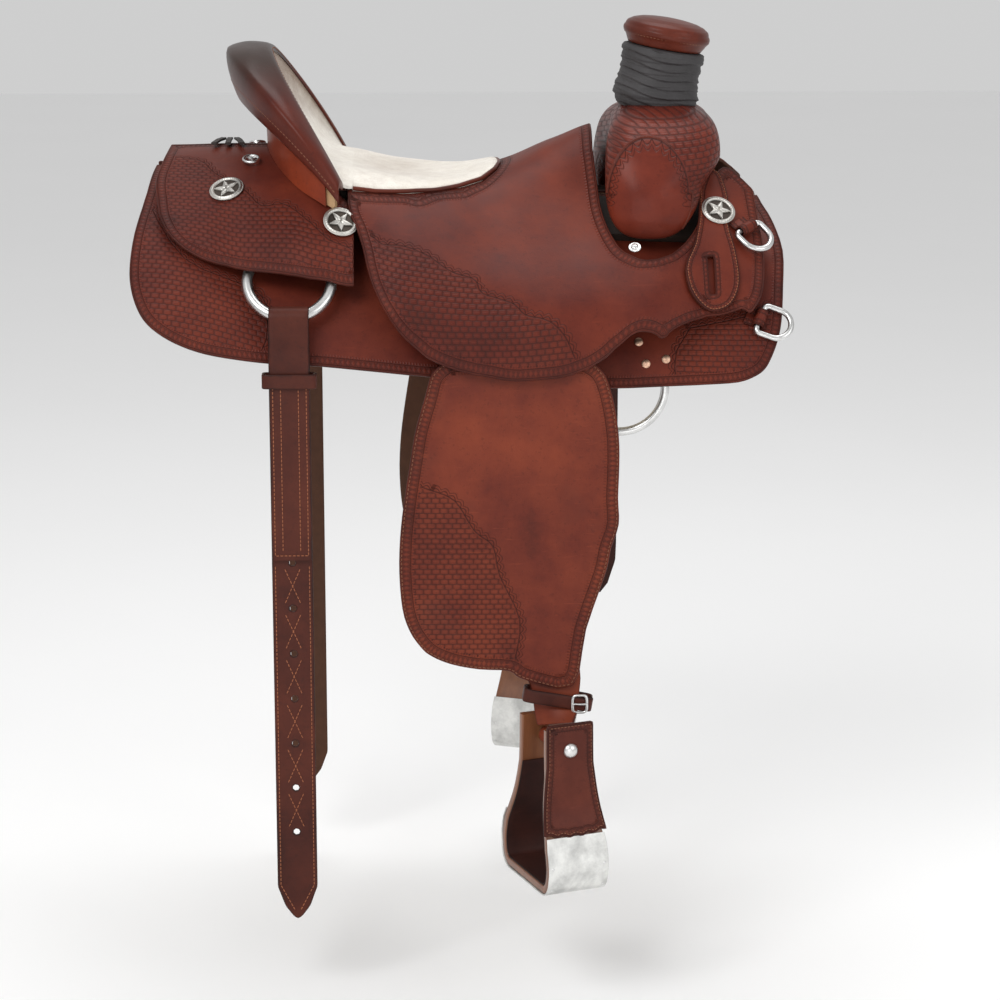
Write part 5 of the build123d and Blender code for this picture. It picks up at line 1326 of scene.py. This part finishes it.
cs = []
for s, sd in SIDES:
    for k, (tab, x, y, h) in enumerate(((REAR, -244, 112, 1.0), (REAR, -126, 157, 2.0), (SEAT, 268, 100, 5.2))):
        p, ex, ey_, n = plane_at(tab, x, y, sd)
        t_ = math.radians((12, 40, -20)[k])
        e1 = ex * math.cos(t_) + ey_ * math.sin(t_)
        cs.append(concho("concho_%s_%d" % (s, k), (p, e1, np.cross(n, e1), n), 18.0, h))
o = join("star_conchos", cs)
place(o, "saddle", ["conchos"])
cs = []
for s, sd in SIDES:
    p, ex, ey_, n = plane_at(SEAT, 178, 152, sd)
    cs.append(lathe("screw_" + s, [(0.2, 3.3), (2.6, 3.2), (3.6, 2.5), (3.9, 1.7), (4.6, 1.6), (6.2, 1.5), (6.6, 1.0), (6.5, 0.2), (0.2, 0.2)], (p, ex, ey_, n), 40, M_STEEL))
o = join("swell_screws", cs)
place(o, "saddle", ["jockey_screws"])
cs = []
for s, sd in SIDES:
    for k, (x, z) in enumerate(((181, -80), (209, -97), (188, -101))):
        ss = back_s(np.array([float(x)]), np.array([float(z)]), 19.0)
        p = back_pt(np.array([float(x)]), ss, 19.0)[0]
        q = back_pt(np.array([float(x)]), ss, 20.0)[0]
        n = q - p
        p[1] *= sd
        n[1] *= sd
        n /= np.linalg.norm(n)
        ex = np.array([1.0, 0, 0])
        ex -= n * (n @ ex)
        ex /= np.linalg.norm(ex)
        cs.append(lathe("rivet_%s_%d" % (s, k), [(0.2, 2.3), (1.8, 2.1), (3.4, 1.6), (4.4, 1.0), (4.7, 0.3), (0.2, 0.3)], (p, ex, np.cross(n, ex), n), 28, M_COPPER))
o = join("copper_rivets", cs)
place(o, "saddle", ["skirt_rivets"])

# ---------------------------------------------------------------------------
# rings, billets, latigo
# ---------------------------------------------------------------------------
RX, RT = -178.0, math.radians(49.0)
for s, sd in SIDES:
    top = np.array([RX, sd * 158.0, 18.7])
    down = np.array([0, sd * math.cos(RT), -math.sin(RT)])
    c = top + down * 43.0
    o = ring_obj("rear_ring_steel_" + s, c, np.array([1.0, 0, 0]), down, 43.0, 5.75, M_STEEL, 96)
    place(o, "ring_" + s, ["rear_ring_" + s])
    b = top + down * 86.0
    by, bz = b[1], b[2]
    # strap loop round the ring and the outer ply
    aa = np.radians(np.linspace(-205, 0, 34))
    R1 = 9.6
    loop_ = np.stack([np.full(34, RX), by + sd * R1 * np.cos(aa), bz - R1 * np.sin(aa)], -1)
    yo = by + sd * 11.5
    outer = np.vstack([loop_, [(RX, by + sd * 12.2, bz - 14)], [(RX, by + sd * 15.6, bz - 30)], [(RX, yo + sd * 4.6, bz - 60)], [(RX, yo + sd * 4.6, -296.0)]])
    outer = by_step(dense(outer, 2), 3.0)
    o = strap("billet_ply_" + s, outer, (1.0, 0, 0), 41.0, 4.0, M_STRAP, n=11)
    place(o, "flank_" + s)
    # lower ply with holes
    loops2 = [by_step(np.array([(RX - 21, bz - 14.0), (RX + 21, bz - 14.0), (RX + 21, -654.0), (RX + 13, -676.0), (RX + 4, -688.0), (RX, -690.0), (RX - 4, -688.0), (RX - 13, -676.0), (RX - 21, -654.0)]), 3.0, True)]
    th_ = np.linspace(0, 2 * np.pi, 20, endpoint=False)
    for k in range(7):
        loops2.append(np.stack([RX + 3.6 * np.cos(th_), -300 - 48.8 * k + 3.6 * np.sin(th_)], -1))
    def bm(x, z, yo=yo, sd=sd):
        return np.stack([x, yo + sd * 2.0 + 0 * x, z], -1)
    o = panel("billet_tail_" + s, loops2, bm, 4.0, 4.4, None, mat=M_STRAP, under=(0, sd, 0), rnd=1.2)
    place(o, "flank_" + s, ["rear_billet_" + s])
    # stitching: edges of both plies, and crossing rows between the holes
    yp = yo + sd * 6.7
    ed1 = [np.array([(RX + q, yp, bz - 55.0), (RX + q, yp, -291.0)]) for q in (-17.0, 17.0)]
    ed1 += [np.array([(RX - 17.0, yp, -291.0), (RX + 17.0, yp, -291.0)])]
    ye = yo + sd * 2.1
    ed1 += [np.array([(RX + q, ye, -303.0), (RX + q, ye, -652.0)]) for q in (-17.5, 17.5)]
    ed1 += [np.array([(RX - 17.5, ye, -652.0), (RX - 3, ye, -680.0)]), np.array([(RX + 17.5, ye, -652.0), (RX + 3, ye, -680.0)])]
    for k in range(6):
        z0, z1 = -306 - 48.8 * k, -343 - 48.8 * k
        if k >= 0:
            ed1 += [np.array([(RX - 8, ye, z0), (RX + 8, ye, z1)]), np.array([(RX + 8, ye, z0), (RX - 8, ye, z1)])]
    for q in (-9.0, 9.0):
        ed1 += [np.array([(RX + q, yp, bz - 62.0), (RX + q, yp, -286.0)])]
    o = join("billet_stitch_" + s, [stitches("bst_%s_%d" % (s, i), by_step(p_, 3.0), (0, sd, 0), 4.2, 0.5, M_THREAD) for i, p_ in enumerate(ed1)])
    place(o, "flank_" + s)
    # keeper band
    zk = bz - 62
    yc = yo + sd * 2.2
    pts = smooth_loop([(-24.6, -6.6), (0, -7.2), (24.6, -6.6), (25.2, 0), (24.6, 6.6), (0, 7.4), (-24.6, 6.6), (-25.2, 0)], 72)
    path = np.stack([RX + pts[:, 0], yc + pts[:, 1], np.full(72, zk)], -1)
    o = strap("billet_loop_" + s, path, (0, 0, 1.0), 15.0, 2.8, M_STRAP, closed=True, n=5)
    place(o, "flank_" + s, ["billet_keeper_" + s])
    # rear rigging tab over the top wire
    nrm = np.array([0, sd * math.sin(RT), math.cos(RT)])
    aa = np.radians(np.linspace(120, 420, 30))
    e1 = -down
    lp = [top + 7.4 * (math.cos(q) * e1 + math.sin(q) * nrm) for q in aa]
    tail_ = [top - down * 16 - nrm * 1.0, top - down * 32 - nrm * 1.5]
    o = strap("rear_rig_tab_" + s, np.vstack([lp[4:], tail_]), (1.0, 0, 0), 26.0, 3.0, M_LATIGO)
    place(o, "saddle")
    # front ring on its plate
    fc = np.array([163.0, sd * 166.0, -130.0])
    o = ring_obj("front_ring_steel_" + s, fc, np.array([1.0, 0, 0]), np.array([0, 0, 1.0]), 47.0, 4.5, M_STEEL, 96)
    place(o, "rig_" + s, ["front_ring_" + s])
    ft = fc + np.array([0, 0, 47.0])
    aa = np.radians(np.linspace(-230, 50, 30))
    lp = [ft + np.array([0, sd * 6.4 * math.cos(q), -6.4 * math.sin(q) * -1.0]) for q in aa]
    o = strap("front_rig_loop_" + s, np.array(lp), (1.0, 0, 0), 30.0, 2.8, M_LATIGO)
    o2 = strap("front_rig_plate_" + s, by_step(np.array([(163.0, sd * 159.8, -66.0), (163.0, sd * 160.0, -52.0), (163.0, sd * 160.4, -80.0)])[[2, 0, 1]], 2.0), (1.0, 0, 0), 50.0, 3.0, M_LATIGO)
    o = join("front_rigging_" + s, [o, o2])
    place(o, "saddle")
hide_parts("rear_rig_tabs")
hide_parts("front_rig_plates")

lz = -177.0
aa = np.radians(np.linspace(180, 0, 20))
pth = [(163.0, 166.0 - 7.0, -330.0), (163.0, 166.0 - 7.0, lz - 12)] + [(163.0, 166.0 - 6.8 * math.cos(q) * -1 - 0.0, lz + 6.8 * math.sin(q)) for q in aa[::-1]]
pth = [(163.0, 159.2, -330.0), (163.0, 159.2, lz)] + [(163.0, 166.0 - 6.8 * math.cos(q), lz + 6.8 * math.sin(q)) for q in np.radians(np.linspace(0, 180, 16))] + [(163.0, 172.8, lz - 6), (163.0, 167.0, lz - 60), (163.0, 165.6, -380.0), (161.0, 165.4, -410.0), (157.0, 165.2, -440.0)]
pth = by_step(dense(pth, 2), 4.0)
wd = np.interp(pth[:, 2], [-442, -428, -400], [16, 32, 42])
wd = np.where(pth[:, 1] < 162, 42.0, wd)
o = strap("latigo_strap", pth, (1.0, 0, 0), wd, 4.0, M_LATIGO, n=9)
place(o, "rig_left", ["latigo_left"])

# D rings with their folded leather tabs
for s, sd in SIDES:
    for kind, org, xd, yd, zd, ang, w, h, r in (
            ("breast", (298.373, -113.6873, 28.6879), (.9518116, 0, -.3066834), (.1949732, .7718972, .6051118), (.236728, -.6357474, .7347007), -128.0, 34.0, 30.0, 3.3),
            ("dee", (308.0, -166.29428, -58.0), (1.0, 0, 0), (0, .5588819, .8292473), (0, -.8292473, .5588819), -112.0, 32.0, 33.0, 3.2)):
        f = np.array([1.0, -sd, 1.0])
        O_, X_, Y_, Z_ = [np.array(q, float) * f for q in (org, xd, yd, zd)]
        ca, sa = math.cos(math.radians(ang)), math.sin(math.radians(ang))
        bar, bow = X_ * ca + Y_ * sa, -X_ * sa + Y_ * ca
        a_, c_ = w / 2, 5.0
        pts = []
        pts += [(x_, 0) for x_ in np.linspace(-a_ + c_, a_ - c_, 10)]
        pts += [(a_ - c_ + c_ * math.sin(t), c_ - c_ * math.cos(t)) for t in np.linspace(0, np.pi / 2, 7)[1:]]
        y0 = h - w / 2
        pts += [(a_ * math.cos(t), y0 + a_ * math.sin(t)) for t in np.linspace(0, np.pi, 34)]
        pts += [(-a_ + c_ - c_ * math.sin(t), c_ - c_ * math.cos(t)) for t in np.linspace(np.pi / 2, 0, 7)[:-1]]
        pts = resample(np.array(pts), 90, True)
        o = tube("%s_ring_steel_%s" % (kind, s), O_ + pts[:, 0:1] * bar + pts[:, 1:2] * bow, r, 14, M_STEEL, closed=True)
        place(o, "%s_%s" % (kind, s), ["breast_ring_" + s if kind == "breast" else "front_dee_" + s])
        aa = np.radians(np.linspace(-60, 200, 22))
        lp = [O_ + (r + 1.9) * (math.cos(q) * bow + math.sin(q) * Z_) for q in aa]
        lp += [O_ - bow * (r + 4) - Z_ * (r + 0.6), O_ - bow * 15 - Z_ * (r + 1.0)]
        o = strap("%s_tab_%s" % (kind, s), np.array(lp), bar, w - 13, 2.2, M_KEEP)
        place(o, "saddle")
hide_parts("dee_tabs")

# lacing and tie loops behind the cantle
cs = []
for i, x in enumerate((-258.0, -247.0, -236.0)):
    a_ = math.radians(10 * (i - 1))
    d_ = np.array([-math.sin(a_), math.cos(a_), 0])
    c_ = np.array([x, 0, 109.3])
    pth = [c_ + d_ * t + np.array([0, 0, -0.035 * abs(t) ** 1.25 * 0.5]) for t in np.linspace(-23, 23, 24)]
    cs.append(strap("lace_%d" % i, pth, np.array([math.cos(a_), math.sin(a_), 0]), 6.2, 3.0, M_LACE, crown=0.4))
o = join("black_laces", cs)
place(o, "saddle", ["jockey_lacing"])
cs = []
for s, sd in SIDES:
    p, ex, ey_, n = plane_at(REAR, -220.0, 62.0, sd)
    dn = ey_ if ey_[2] < 0 else -ey_
    cs.append(ring_obj("tie_" + s, p + n * 4.6 + dn * 7.5, ex, ey_, 8.0, 1.7, M_STEEL, 40))
    cs.append(lathe("tieb_" + s, [(0.2, 4.2), (3.2, 4.0), (4.4, 3.2), (4.6, 1.2), (0.2, 1.2)], (p, ex, ey_, n), 24, M_STEEL))
o = join("tie_rings", cs)
place(o, "saddle", ["tie_loops"])

# ---------------------------------------------------------------------------
# stirrup leathers, hobbles, stirrups
# ---------------------------------------------------------------------------
YAW = math.radians(21.0)
for s, sd in SIDES:
    path = dense([(122, 15), (140, 3), (160, -10), (182, -30), (200, -55), (210, -80), (215, -110), (217.5, -150), (217.5, -300),
                  (217.5, -400), (219, -432), (224, -452), (230, -464), (235, -474)], 4)
    path = by_step(path, 5.0)
    xc = np.interp(path[:, 1], [-474, -455, -430, -400, 30], [94, 95, 94, 86, 84])
    wd = np.interp(path[:, 1], [-474, -450, -425, -395, 30], [44, 48, 56, 64, 64])
    tw = np.interp(path[:, 1], [-474, -452], [math.radians(38), 0.0]) * sd
    P3 = np.stack([xc, sd * path[:, 0], path[:, 1]], -1)
    wdir = np.stack([np.cos(tw), np.sin(tw), 0 * tw], -1)
    o = strap("stirrup_strap_" + s, P3, wdir, wd, 4.0, M_NECK, n=11)
    place(o, "leg_" + s, ["stirrup_leather_" + s])
    # the lower turn round the bolt
    c_ = np.array([93.0, sd * 238.0, -490.0])
    eo = np.array([sd * math.sin(YAW), math.cos(YAW), 0]) * 1.0
    et = np.array([math.cos(YAW), -sd * math.sin(YAW), 0])
    aa = np.radians(np.linspace(-80, 260, 34))
    lp = [c_ + 7.2 * (math.cos(q + math.pi / 2 * 0) * et * 1.0 + math.sin(q) * np.array([0, 0, -1.0])) for q in aa]
    o = strap("stirrup_turn_" + s, np.array(lp), eo, 44.0, 4.0, M_NECK)
    place(o, "leg_" + s)

    # hobble strap: a belt round the neck, slanting down to the front
    hc = np.array([96.5, sd * 223.5, -490.0 + 41.0])
    pts = smooth_loop([(-31, -9.4), (0, -9.8), (31, -9.4), (34.0, 0), (31, 9.4), (0, 9.8), (-31, 9.4), (-34.0, 0)], 84)
    path = np.stack([hc[0] + pts[:, 0], hc[1] + sd * pts[:, 1], hc[2] - 0.17 * pts[:, 0]], -1)
    o = strap("hobble_" + s, path, (0.17, 0, 1.0), 14.5, 3.0, M_STRAP, closed=True, n=5)
    place(o, "leg_" + s, ["hobble_strap_" + s])
    bc = np.array([119.0, sd * (223.5 + 12.9), -490.0 + 41.0 - 3.0])
    a_ = np.linspace(0, 2 * np.pi, 48, endpoint=False)
    sq = lambda t, k: np.sign(t) * np.abs(t) ** k
    path = np.stack([bc[0] + 7.4 * sq(np.cos(a_), 0.45), np.full(48, bc[1]), bc[2] + 9.2 * sq(np.sin(a_), 0.45)], -1)
    o1 = tube("hb_" + s, path, 1.5, 10, M_STEEL, closed=True)
    o2 = tube("hbt_" + s, np.array([bc + np.array([-8.0, sd * 0.6, 0]), bc + np.array([0, sd * 1.6, 0]), bc + np.array([8.4, sd * 1.2, 0])]), 1.1, 8, M_STEEL)
    o = join("hobble_buckle_steel_" + s, [o1, o2])
    place(o, "leg_" + s, ["hobble_buckle_" + s])

    # stirrup in its own frame: d fore and aft, t outward, z up
    C0 = np.array([93.0, sd * 238.0, -490.0])
    D_ = np.array([math.cos(-sd * YAW), math.sin(-sd * YAW), 0.0])
    T_ = np.array([-math.sin(-sd * YAW), math.cos(-sd * YAW), 0.0])

    def loc(d, t, z):
        return C0 + np.asarray(d)[..., None] * D_ + np.asarray(t)[..., None] * T_ + np.asarray(z)[..., None] * np.array([0, 0, 1.0])

    TT, TB, H = 36.0, 62.0, 150.0
    half = dense([(TT, 22.0), (TT + 1, -20), (TT + 6, -60), (TB - 6, -95), (TB, -118), (TB - 1.5, -134), (TB - 6, -144), (TB - 14, -149.4), (TB - 26, -150.0), (0, -150.0)], 5)

    def u_path(grow, zmax=99.0):
        t = np.gradient(half, axis=0)
        t /= np.linalg.norm(t, axis=1, keepdims=True)
        n = np.stack([-t[:, 1], t[:, 0]], -1)
        n *= -1 if (n[3, 0] < 0) else 1
        q = half + n * grow
        q = q[q[:, 1] <= zmax]
        full_ = np.vstack([q, np.stack([-q[::-1, 0], q[::-1, 1]], -1)[1:]])
        return by_step(full_, 3.0)

    dw = lambda z: np.interp(z, [-100.0, -30.0], [66.0, 50.0])
    for nm, grow, zmax, thick, extra, mat, slot_, node in (
            ("wood", -4.25, 99.0, 8.4, 0.0, M_WOOD, "wood_stirrup", "stirrup_"),
            ("tin", 1.3, -84.0, 1.7, 1.6, M_TIN, "galvanised", "stirrup_binding_"),
            ("lining", -9.6, -22.0, 2.0, -1.0, M_LATIGO, "leather_dark", "stirrup_tread_")):
        q = u_path(grow, zmax)
        P3 = loc(0 * q[:, 0], q[:, 0], q[:, 1])
        o = strap("stirrup_%s_%s" % (nm, s), P3, D_, dw(q[:, 1]) + extra, thick, mat, n=9)
        place(o, "foot_" + s, [node + s])
    # pinned nails of the binding
    cs = []
    q = u_path(2.2, -92.0)
    q = by_step(q, 26.0)
    for k in range(1, len(q) - 1):
        for e_ in (-1, 1):
            w_ = float(dw(q[k, 1])) / 2 - 4
            P_ = loc(e_ * w_, q[k, 0], q[k, 1])
            tn = q[k + 1] - q[k - 1]
            nn_ = np.array([-tn[1], tn[0]])
            nn_ /= np.linalg.norm(nn_)
            if nn_ @ np.array([q[k, 0], q[k, 1] + 90]) < 0:
                nn_ = -nn_
            N_ = T_ * nn_[0] + np.array([0, 0, nn_[1]])
            cs.append(lathe("nail%d%d" % (k, e_), [(0.2, 0.8), (1.2, 0.6), (1.7, 0.0), (0.2, -0.2)], (P_, D_, np.cross(N_, D_), N_), 14, M_STEEL))
    o = join("binding_nails_" + s, cs)
    place(o, "foot_" + s)
    # flared side cover with a scalloped foot
    cp = dense([(TT + 1.6, 30.0), (TT + 1.8, 22.0), (TT + 2.8, -20), (TT + 7.8, -60), (TB - 4.0, -95)], 8)
    acc = np.concatenate([[0], np.cumsum(np.linalg.norm(np.diff(cp, axis=0), axis=1))])

    def cover_map(d, q, cp=cp, acc=acc, sd=sd, loc=loc):
        t = np.interp(q, acc, cp[:, 0])
        z = np.interp(q, acc, cp[:, 1])
        return loc(d, sd * (t + 2.6 - 0.0 * d), z)
    Lc = acc[-1] - 10.0
    k_ = np.linspace(-1, 1, 41)
    bottom = np.stack([35.5 * k_, Lc - 4.0 * k_ ** 2 + 2.6 * np.abs(np.sin(k_ * 2.5 * np.pi))], -1)
    outl = np.vstack([[(-25.0, 1.0)], [(25.0, 1.0)], [(26.2, 3)], [(26.5, 45)], [(30, 75)], bottom[::-1], [(-30, 75)], [(-26.5, 45)], [(-26.2, 3)]])
    o = panel("stirrup_cover_leather_" + s, [outl], cover_map, 3.6, 4.0, None, mat=M_COVER, under=tuple(T_ * sd), rnd=1.3)
    place(o, "foot_" + s, ["stirrup_cover_" + s])
    o = stitch_on("cover_stitch_" + s, outl, cover_map, tuple(T_ * sd), 3.0, 3.6, 0.45, M_THREAD_D)
    if o:
        place(o, "foot_" + s)
    # bolt: shank, domed head outside, nut inside
    o1 = tube("bolt_sh_" + s, np.array([loc(0, -sd * 42.0, 0), loc(0, 0, 0), loc(0, sd * 42.0, 0)]), 4.3, 18, M_STEEL)
    o2 = lathe("bolt_hd_" + s, [(0.2, 4.6), (3.0, 4.3), (5.6, 3.2), (7.2, 1.6), (7.8, 0.2), (0.2, 0.0)], (loc(0, sd * 41.0, 0), D_, np.cross(T_ * sd, D_), T_ * sd), 36, M_STEEL)
    hexa = [(6.8 * math.cos(q), 6.8 * math.sin(q)) for q in np.radians([0, 60, 120, 180, 240, 300])]
    o3 = lathe("bolt_nt_" + s, [(0.2, 4.0), (4.0, 4.0), (6.6, 3.4), (6.8, 0.0), (0.2, 0.0)], (loc(0, -sd * 37.5, 0), D_, np.cross(-T_ * sd, D_), -T_ * sd), 6, M_STEEL)
    o = join("stirrup_bolt_steel_" + s, [o1, o2, o3])
    place(o, "foot_" + s, ["stirrup_bolt_" + s])

# ---------------------------------------------------------------------------
# inner parts keep their CAD shape with a real finish
# ---------------------------------------------------------------------------
for node, mat in (("tree_bar_right", M_BAR), ("tree_bar_left", M_BAR), ("tree_fork", M_WOODF), ("tree_cantle", M_WOODF),
                  ("ground_seat", M_LATIGO), ("horn_core", M_STEEL)):
    ob_ = bpy.data.objects.get(node)
    if ob_ is not None:
        ob_.data.materials.clear()
        ob_.data.materials.append(mat)

# ---------------------------------------------------------------------------
# floor, light, camera
# ---------------------------------------------------------------------------
bpy.ops.mesh.primitive_plane_add(size=14, location=(0, 2.0, -0.78))
floor = bpy.context.object
floor.name = "floor"
g = Nodes("floor_paper")
g.link(g.mix(g.noise(g.obj(), 1.5, 3.0), (0.93, 0.93, 0.93), (0.96, 0.96, 0.96)), g.b.inputs["Base Color"])
g.b.inputs["Roughness"].default_value = 0.85
floor.data.materials.append(g.m)

world = bpy.data.worlds.new("studio")
bpy.context.scene.world = world
world.use_nodes = True
bg = world.node_tree.nodes["Background"]
bg.inputs[0].default_value = (1.0, 1.0, 1.0, 1.0)
bg.inputs[1].default_value = 0.62


def area(name, loc_, target, size, power, col=(1, 1, 1)):
    l = bpy.data.lights.new(name, "AREA")
    l.shape = "RECTANGLE"
    l.size, l.size_y = size
    l.energy = power
    l.color = col
    ob = bpy.data.objects.new(name, l)
    bpy.context.scene.collection.objects.link(ob)
    ob.location = loc_
    ob.rotation_euler = (Vector(target) - Vector(loc_)).to_track_quat("-Z", "Y").to_euler()
    return ob


area("key", (-1.3, -2.2, 1.9), (0, 0, -0.1), (1.6, 1.2), 46)
area("fill", (2.2, -2.0, 0.9), (0, 0, -0.2), (1.4, 1.8), 17)
area("top", (0.2, 0.6, 2.4), (0, 0, 0), (1.8, 1.2), 26)
area("low", (0.1, -2.6, -0.3), (0, 0, -0.4), (1.6, 0.5), 6)

cd = bpy.data.cameras.new("cam")
cd.lens = 109.26
cd.sensor_width = 36.0
cam = bpy.data.objects.new("cam", cd)
bpy.context.scene.collection.objects.link(cam)
cam.location = (-0.0591, -3.258, 0.4988)
cam.rotation_euler = (Vector((0.0433, 0.0, -0.2898)) - Vector(cam.location)).to_track_quat("-Z", "Y").to_euler()
bpy.context.scene.camera = cam

bpy.context.scene.view_settings.view_transform = "Standard"
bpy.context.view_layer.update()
